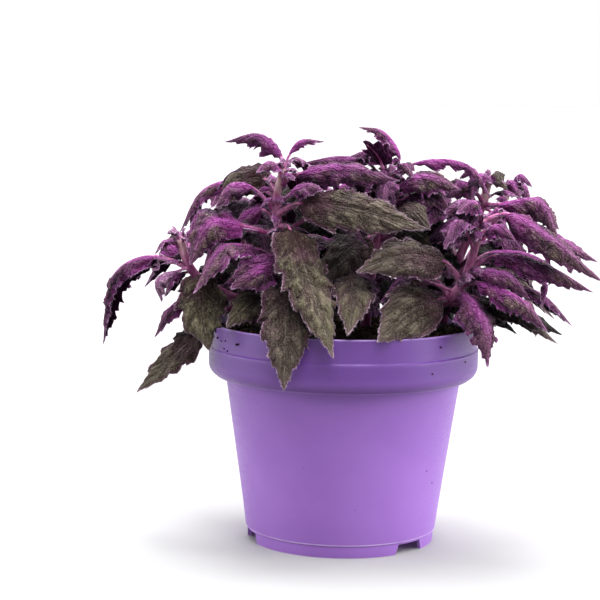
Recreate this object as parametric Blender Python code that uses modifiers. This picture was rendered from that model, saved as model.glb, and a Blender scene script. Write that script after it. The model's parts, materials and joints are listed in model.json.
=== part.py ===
"""A purple passion plant in its nursery pot.

Metres, +Z up. The origin is on the pot's axis, on the surface that the pot stands on, and -Y is the front.
The sizes below are in millimetres, and become metres where a mesh is made.
"""
import math

import bmesh
import bpy
import numpy as np
from mathutils.bvhtree import BVHTree

MM = 0.001
OBJECT_NAME = "purple_passion_plant"

# The pot: a 12 cm nursery pot with a stepped collar
TURN_STEPS = 36
RIM_TOP = 97.2
RIM_R = 59.0
COLLAR_R = 60.0
STEP_Z = 86.6
LIP_Z = 73.5
LIP_R = 58.2
BODY_TOP_R = 51.7
BODY_FOOT_R = 42.6
FOOT_LINE_Z = 5.6
FOOT_R = 41.8
FOOT_WIDTH = 1.9
FLOOR_Z = 5.0
WALL = 1.3
# Headings are in degrees from the front, and grow towards the right
NOTCH_HEADINGS = (47, 167, 287)
NOTCH_LENGTH = 17.5
NOTCH_HEIGHT = 4.6
NOTCH_SLANT = 0.78
DRAIN_HEADINGS = (10, 100, 190, 280)
DRAIN_AT_R = 24.0
DRAIN_R = 4.0

# The soil
SOIL_TOP = 94.5
SOIL_FALL = 2.2
SOIL_RINGS = 4
SOIL_STEPS = 18
# Its gaps to the pot's wall and floor, and the stems' to their holes
SOIL_GAP = 0.5
FLOOR_GAP = 0.3
HOLE_GAP = 0.4

# The stems
STEM_FOOT_R = 2.5
STEM_TIP_R = 1.7
STEM_POINTS = 8
# Each stem's middle line, from its end in the soil to its tip
STEMS = {
    "shoot_left": ((-32, -10, 76), (-36, -13, 100), (-61, -26, 117), (-67, -28, 124), (-71, -27, 136)),
    "shoot_centre_left": ((-20, -12, 76), (-24, -18, 112), (-29, -24, 141), (-30, -23, 153), (-27, -22, 166)),
    "shoot_centre": ((8, 2, 76), (12, 2, 120), (17, 2, 150), (18, 4, 163)),
    "shoot_right": ((28, -10, 76), (36, -16, 102), (50, -28, 117), (55, -27, 131), (57, -26, 144)),
    "shoot_right_top": ((34, 10, 76), (50, 12, 122), (61, 12, 149), (64, 13, 161)),
    "shoot_far_right": ((38, 24, 76), (56, 26, 122), (71, 27, 148), (74, 28, 156)),
    "shoot_back_left": ((-34, 20, 76), (-43, 26, 110), (-49, 30, 136), (-51, 31, 150)),
    "shoot_back": ((-6, 24, 76), (-9, 30, 114), (-11, 36, 142), (-12, 39, 155)),
    "shoot_back_right": ((20, 32, 76), (26, 38, 112), (32, 43, 140), (34, 45, 153)),
}

# The leaves
PETIOLE_HALF = 1.2
PETIOLE_THICK = 2.0
RIB_THICK = 1.1
EDGE_THICK = 0.62
TOOTH_AT = 0.68
TOOTH_LEAN = 0.14
TOOTH_DEPTH = 0.24
TOOTH_SPACING = 11.5
TEETH = (2, 5)
CURVE_STEPS = 24
# A leaf's least distance to another stem's leaves, and the share of it that may cross its own stem's leaves
CLEARANCE = 0.5
FUSED_SHARE = 0.3
# Columns: stem, place along it, neck, middle and tip of the blade, width, roll, fold, curl, age.
# Roll, fold and curl are in degrees; a fold or curl below 0 turns the edges down; age 1 is a young purple leaf.
LEAVES = (
    ("left", 0.73, (-60, -31, 121), (-60, -38, 107), (-57, -40, 89), 25, 0, -6, -14, 0.15),
    ("left", 0.82, (-83, -18, 127), (-102, -4, 117), (-108, 2, 85), 20, -8, -26, -22, 0.75),
    ("left", 0.83, (-72, -32, 122), (-80, -36, 118), (-78, -36, 109), 10, 0, -40, -40, 1.0),
    ("left", 0.90, (-72, -22, 128), (-79, -16, 131), (-83, -14, 124), 13, -30, -10, -10, 0.7),
    ("left", 0.95, (-74, -18, 136), (-78, -10, 136), (-83, -6, 129), 11, -30, -20, -20, 0.2),
    ("left", 0.69, (-67, -18, 109), (-76, -16, 105), (-83, -16, 91), 14, -35, -15, -20, 0.35),
    ("left", 0.48, (-59, -17, 98), (-74, -16, 84), (-91, -14, 66), 18, -50, 5, -10, 0.05),
    ("left", 0.73, (-58, -24, 130), (-55, -18, 134), (-46, -14, 122), 13, 30, -20, -20, 0.8),
    ("left", 0.99, (-72, -30, 137), (-73, -33, 140), (-75, -36, 139), 7, 0, -20, -20, 1.0),
    ("centre_left", 0.72, (-24, -34, 142), (-14, -54, 120), (-4, -69, 91), 26, 0, -4, -12, 0.08),
    ("centre_left", 0.51, (-26, -40, 118), (-24, -60, 101), (-24, -69, 77), 23, 0, 4, -14, 0.2),
    ("centre_left", 0.67, (-45, -28, 142), (-59, -33, 143), (-67, -32, 125), 21, -55, -10, -16, 0.6),
    ("centre_left", 0.79, (-41, -26, 157), (-50, -28, 157), (-56, -28, 147), 16, -20, -25, -25, 0.95),
    ("centre_left", 0.89, (-35, -12, 161), (-49, -8, 160), (-58, -6, 146), 20, -65, -10, -15, 0.15),
    ("centre_left", 0.86, (-47, 4, 160), (-65, 14, 154), (-75, 14, 135), 14, -20, -30, -30, 0.5),
    ("centre_left", 0.98, (-28, -19, 171), (-38, -14, 180), (-53, -12, 177), 14, -20, -30, -25, 0.8),
    ("centre_left", 0.98, (-25, -20, 172), (-20, -20, 178), (-10, -20, 178), 7, 10, -30, -30, 0.8),
    ("centre_left", 0.96, (-29, -28, 166), (-33, -33, 169), (-38, -36, 165), 12, 0, -15, -20, 0.9),
    ("centre_left", 0.92, (-21, -24, 164), (-1, -28, 168), (23, -26, 162), 22, 30, -30, -15, 0.55),
    ("centre_left", 0.78, (-20, -32, 152), (3, -44, 151), (34, -50, 143), 23, 55, -4, -12, 0.05),
    ("centre_left", 0.41, (-34, -28, 111), (-42, -33, 109), (-52, -36, 99), 16, -45, 0, -14, 0.1),
    ("centre_left", 0.55, (-29, -34, 127), (-37, -42, 124), (-48, -44, 116), 19, -50, 0, -16, 0.6),
    ("centre_left", 0.82, (-23, -30, 156), (-16, -34, 160), (-8, -37, 158), 14, 25, -15, -20, 0.95),
    ("centre_left", 0.75, (-36, -16, 148), (-44, -12, 146), (-51, -10, 135), 19, -50, -10, -20, 0.75),
    ("centre", 0.98, (16, 0, 167), (12, -6, 173), (7, -10, 178), 15, 10, 25, 10, 0.9),
    ("centre", 0.99, (24, 8, 170), (16, 6, 182), (5, 4, 184), 12, -10, -35, -25, 0.6),
    ("centre", 0.97, (22, -4, 165), (25, -8, 169), (29, -12, 163), 13, 15, -15, -20, 0.35),
    ("centre", 0.95, (29, 2, 168), (53, -3, 168), (64, -4, 154), 9, 10, -45, -20, 0.9),
    ("centre", 0.85, (23, -6, 159), (34, -10, 164), (50, -12, 158), 21, 35, -20, -20, 0.4),
    ("centre", 0.84, (26, -4, 153), (37, -8, 156), (48, -10, 148), 19, 35, -15, -20, 0.95),
    ("centre", 0.94, (10, 9, 168), (-3, 12, 170), (-21, 12, 167), 13, -15, -30, -20, 0.8),
    ("centre", 0.96, (14, 6, 167), (8, 8, 171), (0, 6, 168), 12, -20, -20, -20, 0.95),
    ("centre", 0.71, (10, -10, 136), (0, -20, 131), (-8, -28, 117), 24, -30, -8, -14, 0.1),
    ("centre", 0.49, (3, -22, 120), (4, -46, 109), (2, -62, 94), 19, 0, 6, -14, 0.1),
    ("centre", 0.52, (7, -24, 124), (11, -36, 118), (14, -44, 109), 15, 0, -10, -30, 0.7),
    ("centre", 0.79, (24, -8, 149), (31, -14, 150), (41, -18, 141), 16, 35, -15, -20, 0.3),
    ("centre", 0.66, (23, -2, 139), (29, -8, 137), (38, -14, 127), 18, 45, -8, -16, 0.2),
    ("right", 0.66, (43, -34, 128), (25, -46, 132), (5, -54, 125), 23, -50, -4, -14, 0.15),
    ("right", 0.52, (41, -32, 112), (29, -46, 109), (14, -62, 97), 25, -55, 4, -12, 0.05),
    ("right", 0.63, (51, -35, 115), (60, -44, 102), (61, -46, 85), 21, 5, -15, -20, 0.95),
    ("right", 0.72, (64, -30, 131), (86, -32, 127), (106, -32, 116), 19, 20, -30, -20, 0.6),
    ("right", 0.76, (62, -18, 131), (80, -14, 130), (99, -10, 119), 17, 0, -30, -20, 0.7),
    ("right", 0.70, (57, -35, 125), (69, -40, 124), (78, -42, 114), 16, 15, -30, -20, 0.4),
    ("right", 0.66, (57, -37, 121), (75, -44, 116), (87, -46, 104), 19, 10, -25, -20, 0.7),
    ("right", 0.60, (57, -22, 112), (74, -22, 109), (93, -20, 92), 22, 15, -15, -16, 0.2),
    ("right", 0.65, (68, -12, 118), (87, -8, 112), (101, -6, 98), 13, 0, -30, -20, 0.6),
    ("right", 0.94, (54, -30, 145), (48, -34, 152), (42, -36, 149), 17, -30, -10, -20, 0.9),
    ("right", 0.96, (57, -31, 148), (52, -38, 152), (46, -42, 146), 14, -20, -10, -20, 0.85),
    ("right", 0.90, (60, -32, 141), (65, -36, 144), (72, -38, 138), 13, 20, -20, -30, 0.9),
    ("right", 0.99, (68, -28, 149), (85, -36, 141), (108, -46, 122), 21, 25, -30, -20, 0.35),
    ("right", 0.60, (29, -30, 121), (22, -38, 119), (15, -43, 111), 12, -10, -20, -30, 0.8),
    ("right", 0.90, (53, -18, 140), (43, -10, 144), (31, -4, 135), 20, -45, -10, -20, 0.8),
    ("right_top", 0.98, (64, 12, 162), (67, 10, 165), (72, 8, 157), 13, 15, -15, -20, 0.25),
    ("right_top", 0.92, (60, 8, 160), (56, 6, 166), (50, 4, 162), 10, -15, -35, -20, 0.9),
    ("right_top", 0.87, (68, 4, 151), (85, -1, 153), (94, -5, 136), 21, 25, -30, -20, 0.6),
    ("right_top", 0.88, (57, 6, 157), (51, 2, 160), (44, -2, 153), 17, -30, -15, -20, 0.85),
    ("far_right", 0.98, (75, 28, 158), (81, 28, 158), (85, 28, 149), 11, 15, -30, -20, 0.95),
    ("far_right", 0.97, (74, 24, 158), (75, 20, 160), (79, 18, 152), 11, 10, -20, -20, 0.9),
    ("far_right", 0.86, (84, 17, 142), (98, 5, 134.5), (110.6, -10, 127), 15, 15, -25, -20, 0.7),
    ("far_right", 0.87, (78, 16, 148), (89, 12, 147), (95, 10, 137), 16, 25, -20, -20, 0.6),
    ("right", 0.72, (84, -24, 120), (87, -24, 118), (85, -26, 108), 7, 20, -25, -20, 0.8),
    ("left", 0.80, (-69, -24, 121), (-74, -24, 119), (-78, -23, 110), 13, 0, -15, -20, 0.5),
    # Deep among the stems
    ("back", 0.90, (-14, 28, 154), (-23, 17, 158), (-31, 6, 146), 24, 0, -10, -15, 0.3),
    ("centre", 0.72, (2, 4, 145), (-12, 6, 146), (-30, 7, 139), 24, -50, -10, -15, 0.3),
    ("centre", 0.86, (25, 7, 155), (35, 9, 153), (46, 7, 138), 22, 20, -10, -15, 0.3),
    ("centre", 0.88, (12, 11, 157), (7, 15, 160), (0, 17, 150), 18, 0, -10, -15, 0.5),
    ("right_top", 0.50, (56, 6, 127), (66, 2, 132), (78, -2, 122), 22, 20, -10, -15, 0.3),
    ("back_left", 0.84, (-48, 20, 148), (-48, 10, 150), (-50, 2, 139), 24, 0, -10, -15, 0.4),
    ("back_left", 0.36, (-44, 16, 111), (-50, 8, 114), (-54, 0, 104), 22, 0, -10, -15, 0.2),
    ("right_top", 0.34, (42, 4, 113), (37, -2, 117), (30, -8, 108), 22, 0, -10, -15, 0.2),
    ("centre", 0.42, (17, -5, 115), (22, -11, 117), (25, -18, 102), 24, 0, -10, -15, 0.2),
    ("right_top", 0.28, (49, 5, 105), (54, -1, 107), (57, -8, 100), 20, 0, -10, -15, 0.2),
    ("right_top", 0.44, (51, 4, 117), (56, -2, 118), (61, -8, 107), 20, 0, -10, -15, 0.4),
    ("back_left", 0.76, (-45, 21, 142), (-38, 13, 144), (-30, 7, 134), 20, 0, -10, -15, 0.4),
    ("left", 0.60, (-48, -9, 120), (-53, -2, 124), (-56, 5, 112), 24, 0, -10, -15, 0.3),
    ("back", 0.30, (-7, 19, 106), (-6, 9, 108), (-5, -1, 100), 20, 0, -10, -15, 0.2),
    ("right", 0.50, (58, -31, 110), (74, -35, 106.5), (91, -37, 93), 17, 15, -15, -18, 0.1),
)
# Leaves that fill a stem's other sides: how many, where on the stem, longest and shortest, first heading
FILL = {
    "shoot_left": (2, 0.50, 0.86, 44, 28, 100),
    "shoot_centre_left": (4, 0.40, 0.80, 50, 34, 150),
    "shoot_centre": (5, 0.42, 0.82, 54, 34, 170),
    "shoot_right": (2, 0.55, 0.85, 44, 30, 190),
    "shoot_right_top": (4, 0.40, 0.85, 48, 30, 60),
    "shoot_far_right": (5, 0.35, 0.85, 54, 28, 120),
    "shoot_back_left": (9, 0.34, 0.98, 66, 22, 200),
    "shoot_back": (9, 0.34, 0.98, 60, 22, 180),
    "shoot_back_right": (9, 0.34, 0.98, 66, 22, 150),
}
FILL_WIDTH = 0.48
# How far those leaves may reach to the sides, to the back and above the rim
FILL_REACH = (97, 71, 70)
GOLDEN_ANGLE = 137.5
# The turns, in degrees, that bend a leaf clear, and the most for a leaf whose place is given
YAWS = (0, 6, -6, 12, -12, 20, -20, 30, -30, 45, -45)
PITCHES = (0, 5, -5, 10, -10, 18, -18)
PLACED_TURN = 24


def unit(vectors):
    """The vectors at length 1."""
    return vectors / np.maximum(np.linalg.norm(vectors, axis=-1, keepdims=True), 1e-9)


def heading(degrees):
    """The level direction at an angle from the front."""
    return np.array([math.sin(math.radians(degrees)), -math.cos(math.radians(degrees)), 0.0])


def smooth_curve(points):
    """Points along a centripetal Catmull-Rom curve through the points given."""
    p = np.asarray(points, float)
    p = np.vstack([2 * p[0] - p[1], p, 2 * p[-1] - p[-2]])
    out = []
    for k in range(1, len(p) - 2):
        q = p[k - 1:k + 3]
        knot = np.concatenate([[0], np.cumsum(np.sqrt(np.linalg.norm(np.diff(q, axis=0), axis=1)))])
        u = np.linspace(knot[1], knot[2], CURVE_STEPS, endpoint=False)[:, None]
        for width in (1, 2, 3):
            low = knot[:4 - width] if width < 3 else knot[1:2]
            high = knot[width:] if width < 3 else knot[2:3]
            q = [((b - u) * q[i] + (u - a) * q[i + 1]) / (b - a) for i, (a, b) in enumerate(zip(low, high))]
        out.append(q[0])
    return np.vstack(out + [p[-2:-1]])


def lengths_along(curve):
    """The distance from a curve's start to each of its points."""
    return np.concatenate([[0], np.cumsum(np.linalg.norm(np.diff(curve, axis=0), axis=1))])


def points_at(curve, distances):
    """The curve's points at those distances along it."""
    along = lengths_along(curve)
    return np.stack([np.interp(distances, along, curve[:, i]) for i in range(3)], axis=-1)


def stem_point(stem, share):
    """The point at a share of the stem's length."""
    curve = smooth_curve(STEMS[stem])
    return points_at(curve, share * lengths_along(curve)[-1])


def blade_half_width(leaf, along):
    """Half the blade's width: broad below its middle, drawn out to a tip, and cut into teeth."""
    envelope = (1 - (1 - along) ** 7) ** 0.8 * (1 - along ** 2.1) / 0.84
    place = (along * leaf["teeth"]) % 1.0
    tooth = np.where(place < TOOTH_AT, place / TOOTH_AT, (1 - place) / (1 - TOOTH_AT))
    return 0.5 * leaf["width"] * envelope * (1 - TOOTH_DEPTH * (1 - tooth))


def leaf_surface(leaf, rows, across, lean=0.0):
    """A grid of points on a leaf's middle surface.

    rows holds, for each row, 0 at the stem, 1 at the neck and 2 at the tip; across is -1 to 1, and lean
    moves a point towards the tip, as the teeth lean.
    """
    route = smooth_curve((leaf["root"], leaf["neck"], leaf["middle"], leaf["tip"]))
    length = lengths_along(route)[-1]
    neck = lengths_along(route)[CURVE_STEPS]
    blade = np.clip(rows - 1, 0, 1)
    distance = np.minimum(rows, 1) * neck + np.clip(rows - 1 + lean, 0, 1) * (length - neck)
    middle = points_at(route, distance)
    ahead = points_at(route, np.minimum(distance + 0.6, length))
    tangent = unit(ahead - points_at(route, np.maximum(distance - 0.6, 0)))
    level = np.array(leaf["tip"], float) - leaf["root"]
    level[2] = 0
    side = unit(np.cross(unit(level), (0, 0, 1.0)))
    side = unit(side - (tangent @ side)[..., None] * tangent)
    normal = np.cross(side, tangent)
    roll = np.radians(leaf["roll"]) * np.minimum(rows, 1)[..., None]
    side, normal = side * np.cos(roll) - normal * np.sin(roll), normal * np.cos(roll) + side * np.sin(roll)
    half = np.where(rows > 1, np.maximum(blade_half_width(leaf, blade), 0.35), PETIOLE_HALF)
    bend = np.radians(leaf["fold"] + leaf["curl"] * np.abs(across)) * np.clip(rows, 0.3, 1)
    out = (half * across * np.cos(bend))[..., None] * side
    lift = (half * np.abs(across) * np.sin(bend))[..., None] * normal
    return middle + out + lift


def blade_rows(leaf):
    """The rows of a leaf's mesh: one at the stem, one at the neck, and one at each tooth's tip and notch."""
    rows = [0.0, 1.0]
    for k in range(leaf["teeth"]):
        rows += [1 + (k + TOOTH_AT) / leaf["teeth"], 1 + (k + 1) / leaf["teeth"]]
    return np.array(rows)


def leaf_mesh(leaf, extra=0.0):
    """A leaf as one closed mesh, cut into the same triangles above and below, with extra thickness if asked."""
    across = np.array((-1, 0, 1), float)
    rows = blade_rows(leaf)
    grid_rows = np.repeat(rows[:, None], len(across), axis=1)
    at_tooth = (rows > 1) * (((rows - 1) * leaf["teeth"]) % 1.0 > TOOTH_AT - 0.1)
    lean = TOOTH_LEAN / leaf["teeth"] * at_tooth[:, None] * np.abs(across)
    points = leaf_surface(leaf, grid_rows, np.repeat(across[None, :], len(rows), axis=0), lean)
    if "turn" in leaf:
        points = turned(points, leaf)
    slope = np.cross(np.gradient(points, axis=1), np.gradient(points, axis=0))
    blade = np.clip(grid_rows - 1, 0, 1)
    rib = RIB_THICK + (EDGE_THICK - RIB_THICK) * np.maximum(blade, np.abs(across))
    thick = np.where(grid_rows > 1, rib, PETIOLE_THICK) + 2 * extra
    lift = unit(slope) * (thick / 2)[..., None]
    if extra:
        edges = unit(points[:, -1] - points[:, 0]) * extra
        points[:, 0] -= edges
        points[:, -1] += edges
    n_rows, n_cols = grid_rows.shape
    count = n_rows * n_cols
    faces = []
    for r in range(n_rows - 1):
        for c in range(n_cols - 1):
            a, b = r * n_cols + c, r * n_cols + c + 1
            d, e = a + n_cols, b + n_cols
            cut = ((a, b, e), (a, e, d)) if c < n_cols // 2 else ((a, b, d), (b, e, d))
            for face in cut:
                faces.append(face)
                faces.append(tuple(i + count for i in reversed(face)))
    rim = [r * n_cols for r in range(n_rows)]
    rim += [count - n_cols + c for c in range(1, n_cols)]
    rim += [r * n_cols + n_cols - 1 for r in range(n_rows - 2, -1, -1)]
    rim += list(range(n_cols - 2, 0, -1))
    for a, b in zip(rim, rim[1:] + rim[:1]):
        faces += [(a, b, b + count), (a, b + count, a + count)]
    return np.vstack([(points + lift).reshape(-1, 3), (points - lift).reshape(-1, 3)]), faces


def turned(points, leaf):
    """The points swung about the leaf's root by its yaw and pitch."""
    yaw, pitch = np.radians(leaf["turn"])
    level = np.array(leaf["tip"], float) - leaf["root"]
    level[2] = 0
    axis = np.cross((0, 0, 1.0), unit(level))
    p = points - leaf["root"]
    c, s = math.cos(pitch), math.sin(pitch)
    p = p * c - np.cross(axis, p) * s + axis * (p @ axis)[..., None] * (1 - c)
    c, s = math.cos(yaw), math.sin(yaw)
    spin = np.array([[c, s, 0], [-s, c, 0], [0, 0, 1]])
    return p @ spin + leaf["root"]


def teeth_of(neck, middle, tip):
    """How many teeth a blade of that length has on each side."""
    length = np.linalg.norm(np.subtract(middle, neck)) + np.linalg.norm(np.subtract(tip, middle))
    return int(np.clip(round(length / TOOTH_SPACING), *TEETH))


def placed_leaves():
    """The leaves seen from the front, each grown from its stem."""
    for stem, share, neck, middle, tip, width, roll, fold, curl, age in LEAVES:
        name = "shoot_" + stem
        yield {"stem": name, "root": stem_point(name, share), "neck": neck, "middle": middle, "tip": tip,
               "width": width, "roll": roll, "fold": fold, "curl": curl, "age": age,
               "teeth": teeth_of(neck, middle, tip), "most_turn": PLACED_TURN}


def filling_leaves():
    """The leaves round the other sides, set by the golden angle, shorter and higher towards the stem's tip."""
    draw = np.random.default_rng(11)
    for stem, (count, low, high, longest, shortest, first) in FILL.items():
        for k in range(count):
            share = k / (count - 1)
            root = stem_point(stem, low + (high - low) * share)
            length = longest + (shortest - longest) * share
            away = heading(first + k * GOLDEN_ANGLE + draw.uniform(-12, 12))
            rise = np.array([0, 0, length])
            droop = draw.uniform(0.30, 0.55) * (1 - share) - 0.1 * share
            neck = root + away * length * 0.30 + rise * (0.10 + 0.22 * share)
            middle = root + away * length * 0.68 + rise * (0.10 + 0.35 * share)
            tip = root + away * length - rise * droop
            yield {"stem": stem, "root": root, "neck": neck, "middle": middle, "tip": tip,
                   "width": length * FILL_WIDTH, "roll": draw.uniform(-15, 15), "fold": -12, "curl": -18,
                   "teeth": teeth_of(neck, middle, tip), "most_turn": 90, "age": 0.15 + 0.8 * share}


def bvh(mesh):
    """A search tree of a mesh's faces."""
    return BVHTree.FromPolygons([tuple(v) for v in mesh[0]], mesh[1])


def tube_mesh(points, radius, sides=8):
    """An open tube of polygons round a line, for testing what comes near it."""
    tangent = unit(np.gradient(points, axis=0))
    side = unit(np.cross(tangent, (0, 1.0, 0)))
    other = np.cross(tangent, side)
    angles = np.linspace(0, 2 * math.pi, sides, endpoint=False)
    ring = np.cos(angles)[None, :, None] * side[:, None] + np.sin(angles)[None, :, None] * other[:, None]
    verts = (points[:, None] + radius * ring).reshape(-1, 3)
    faces = []
    for r in range(len(points) - 1):
        for k in range(sides):
            a, b = r * sides + k, r * sides + (k + 1) % sides
            faces.append((a, b, b + sides, a + sides))
    return verts, faces


def turned_mesh(profile, steps=TURN_STEPS):
    """A profile turned about the pot's axis, for testing what comes near it."""
    angles = np.linspace(0, 2 * math.pi, steps, endpoint=False)
    verts = [(r * math.cos(a), r * math.sin(a), z) for r, z in profile for a in angles]
    faces = []
    for row in range(len(profile) - 1):
        for k in range(steps):
            a, b = row * steps + k, row * steps + (k + 1) % steps
            faces.append((a, b, b + steps, a + steps))
    return np.array(verts), faces


def in_reach(points):
    """Whether a filling leaf stays in the dome of FILL_REACH, and hangs past the rim only at the back."""
    x, y, z = np.abs(points[:, 0]), points[:, 1], points[:, 2] - RIM_TOP
    dome = (x / FILL_REACH[0]) ** 2 + (np.maximum(z, 0) / FILL_REACH[2]) ** 2
    low_at_side = (z < 0) & (x > RIM_R)
    return dome.max() < 1 and y.max() < FILL_REACH[1] and not low_at_side.any()


def clear_leaves():
    """Bends each leaf clear of the pot, the soil and the other stems' leaves; one that can't be is left out."""
    ground = [bvh(turned_mesh(pot_profile())), bvh(turned_mesh(((0.1, SOIL_TOP + 1.5), (RIM_R - 2, SOIL_TOP + 1.5))))]
    tubes = {}
    for stem, route in STEMS.items():
        curve = smooth_curve(route)
        tubes[stem] = bvh(tube_mesh(curve[::6], STEM_FOOT_R + CLEARANCE))
    turns = sorted(((y, p) for y in YAWS for p in PITCHES), key=lambda t: (abs(t[0]) + abs(t[1]), t))
    done = []
    for leaf in list(placed_leaves()) + list(filling_leaves()):
        best = None
        for turn in turns:
            if max(abs(turn[0]), abs(turn[1])) > leaf["most_turn"]:
                continue
            leaf["turn"] = turn
            points, faces = leaf_mesh(leaf, CLEARANCE)
            tree = bvh((points, faces))
            low, high = points.min(axis=0), points.max(axis=0)
            if any(tree.overlap(g) for g in ground):
                continue
            if leaf["most_turn"] > PLACED_TURN and not in_reach(points):
                continue
            if any(tree.overlap(t) for stem, t in tubes.items() if stem != leaf["stem"]):
                continue
            near = [d for d in done if np.all(d["low"] < high) and np.all(d["high"] > low)]
            if any(tree.overlap(d["tree"]) for d in near if d["stem"] != leaf["stem"]):
                continue
            outer = bvh((points, [f for f in faces if min(f) % (len(points) // 2) > len(points) // 2 * FUSED_SHARE]))
            crossed = sum(len(outer.overlap(d["tree"])) for d in near if d["stem"] == leaf["stem"])
            if best is None or crossed < best[0]:
                best = (crossed, turn)
            if crossed == 0:
                break
        if best is None:
            print("left out", leaf["stem"], np.round(leaf["tip"]))
            continue
        leaf["turn"] = best[1]
        mesh = leaf_mesh(leaf)
        leaf.update(mesh=mesh, tree=bvh(mesh), low=mesh[0].min(axis=0), high=mesh[0].max(axis=0))
        done.append(leaf)
    return done


def pot_profile():
    """Half of the pot's section, from the floor's middle inside, over the rim and down to the floor's underside."""
    inside = [
        (0, FLOOR_Z + WALL),
        (BODY_FOOT_R - WALL, FLOOR_Z + WALL),
        (BODY_TOP_R - WALL, LIP_Z + 0.3),
        (LIP_R - WALL + 0.6, LIP_Z + 1.1),
        (COLLAR_R - WALL - 0.2, STEP_Z - 1.0),
        (RIM_R - WALL - 0.2, RIM_TOP - 0.8),
    ]
    outside = [
        (RIM_R - 0.8, RIM_TOP),
        (RIM_R, RIM_TOP - 0.8),
        (RIM_R + 0.3, STEP_Z + 0.4),
        (COLLAR_R, STEP_Z),
        (COLLAR_R, LIP_Z + 2.5),
        (LIP_R, LIP_Z),
        (BODY_TOP_R, LIP_Z - 0.7),
        (BODY_FOOT_R, FOOT_LINE_Z),
        (FOOT_R, FOOT_LINE_Z - 0.6),
        (FOOT_R, 0),
        (FOOT_R - FOOT_WIDTH, 0),
        (FOOT_R - FOOT_WIDTH, FLOOR_Z),
        (0, FLOOR_Z),
    ]
    return inside + outside


def soil_profile():
    """Half of the soil's section, clear of the pot, from its top's middle down to its underside's middle."""
    edge = COLLAR_R - WALL - 0.6 - SOIL_GAP
    top = [(edge * k / SOIL_RINGS, SOIL_TOP) for k in range(SOIL_RINGS + 1)]
    return top + [
        (LIP_R - WALL + 0.6 - SOIL_GAP, LIP_Z + 1.1 + SOIL_GAP),
        (BODY_TOP_R - WALL - SOIL_GAP, LIP_Z + 0.3 + SOIL_GAP),
        (BODY_FOOT_R - WALL - SOIL_GAP, FLOOR_Z + WALL + FLOOR_GAP),
        (0, FLOOR_Z + WALL + FLOOR_GAP),
    ]


def material(name, colour, roughness):
    """A plain material."""
    made = bpy.data.materials.new(name)
    made.use_nodes = True
    shader = made.node_tree.nodes["Principled BSDF"]
    shader.inputs["Base Color"].default_value = (*colour, 1.0)
    shader.inputs["Roughness"].default_value = roughness
    shader.inputs["Metallic"].default_value = 0.0
    made.diffuse_color = (*colour, 1.0)
    return made


def mesh_object(name, points, faces, collection):
    """An object of a mesh given in millimetres."""
    mesh = bpy.data.meshes.new(name)
    mesh.from_pydata([tuple(p * MM) for p in np.asarray(points, float)], [], faces)
    made = bpy.data.objects.new(name, mesh)
    collection.objects.link(made)
    bm = bmesh.new()
    bm.from_mesh(mesh)
    bmesh.ops.recalc_face_normals(bm, faces=bm.faces)
    bm.to_mesh(mesh)
    bm.free()
    return made


def lathe(name, profile, steps, collection):
    """A profile turned about the Z axis by a Screw modifier."""
    mesh = bpy.data.meshes.new(name)
    mesh.from_pydata([(r * MM, 0, z * MM) for r, z in profile], [(i, i + 1) for i in range(len(profile) - 1)], [])
    made = bpy.data.objects.new(name, mesh)
    collection.objects.link(made)
    screw = made.modifiers.new("turn", "SCREW")
    screw.steps = steps
    screw.render_steps = steps
    screw.use_merge_vertices = True
    screw.merge_threshold = 0.0001
    return made


def applied(made, weld=False):
    """Turns an object's modifiers, or a curve, into a plain mesh; weld joins a curve's loose caps to it."""
    tree = bpy.context.evaluated_depsgraph_get()
    mesh = bpy.data.meshes.new_from_object(made.evaluated_get(tree))
    name, collections, matrix = made.name, list(made.users_collection), made.matrix_world.copy()
    bpy.data.objects.remove(made)
    if weld:
        bm = bmesh.new()
        bm.from_mesh(mesh)
        bmesh.ops.remove_doubles(bm, verts=bm.verts, dist=0.00001)
        bm.to_mesh(mesh)
        bm.free()
    mesh.name = name
    done = bpy.data.objects.new(name, mesh)
    done.matrix_world = matrix
    for collection in collections:
        collection.objects.link(done)
    return done


def stem_tube(name, route, wider, collection):
    """A stem that tapers to its tip, as a bevelled curve made a mesh; wider adds to its radius and its foot."""
    curve = smooth_curve(route)
    length = lengths_along(curve)[-1]
    points = points_at(curve, np.linspace(0, length, STEM_POINTS))
    points[0] -= unit(points[1] - points[0]) * wider
    data = bpy.data.curves.new(name, "CURVE")
    data.dimensions = "3D"
    data.bevel_depth = MM
    data.bevel_resolution = 2
    data.use_fill_caps = True
    line = data.splines.new("POLY")
    line.points.add(STEM_POINTS - 1)
    for k, point in enumerate(points):
        line.points[k].co = (*(point * MM), 1.0)
        line.points[k].radius = STEM_FOOT_R + (STEM_TIP_R - STEM_FOOT_R) * k / (STEM_POINTS - 1) + wider
    made = bpy.data.objects.new(name, data)
    collection.objects.link(made)
    return applied(made, weld=True)


def join(made, collection, operation, solver):
    """Adds or takes away everything in a collection by one Boolean, and removes the collection's objects."""
    step = made.modifiers.new(operation.lower(), "BOOLEAN")
    step.operand_type = "COLLECTION"
    step.collection = collection
    step.operation = operation
    step.solver = solver
    made = applied(made)
    for other in list(collection.objects):
        bpy.data.objects.remove(other)
    bpy.data.collections.remove(collection)
    return made


def keep_largest(made):
    """Drops the loose scraps and sealed hollows that a Boolean leaves, and keeps the one body."""
    bm = bmesh.new()
    bm.from_mesh(made.data)
    left = set(bm.faces)
    bodies = []
    while left:
        body, edge_of = [], [left.pop()]
        while edge_of:
            face = edge_of.pop()
            body.append(face)
            for edge in face.edges:
                for other in edge.link_faces:
                    if other in left:
                        left.remove(other)
                        edge_of.append(other)
        bodies.append(body)
    bodies.sort(key=len)
    for body in bodies[:-1]:
        bmesh.ops.delete(bm, geom=body, context="FACES")
    loose = [v for v in bm.verts if not v.link_faces]
    bmesh.ops.delete(bm, geom=loose, context="VERTS")
    bm.to_mesh(made.data)
    bm.free()


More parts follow.
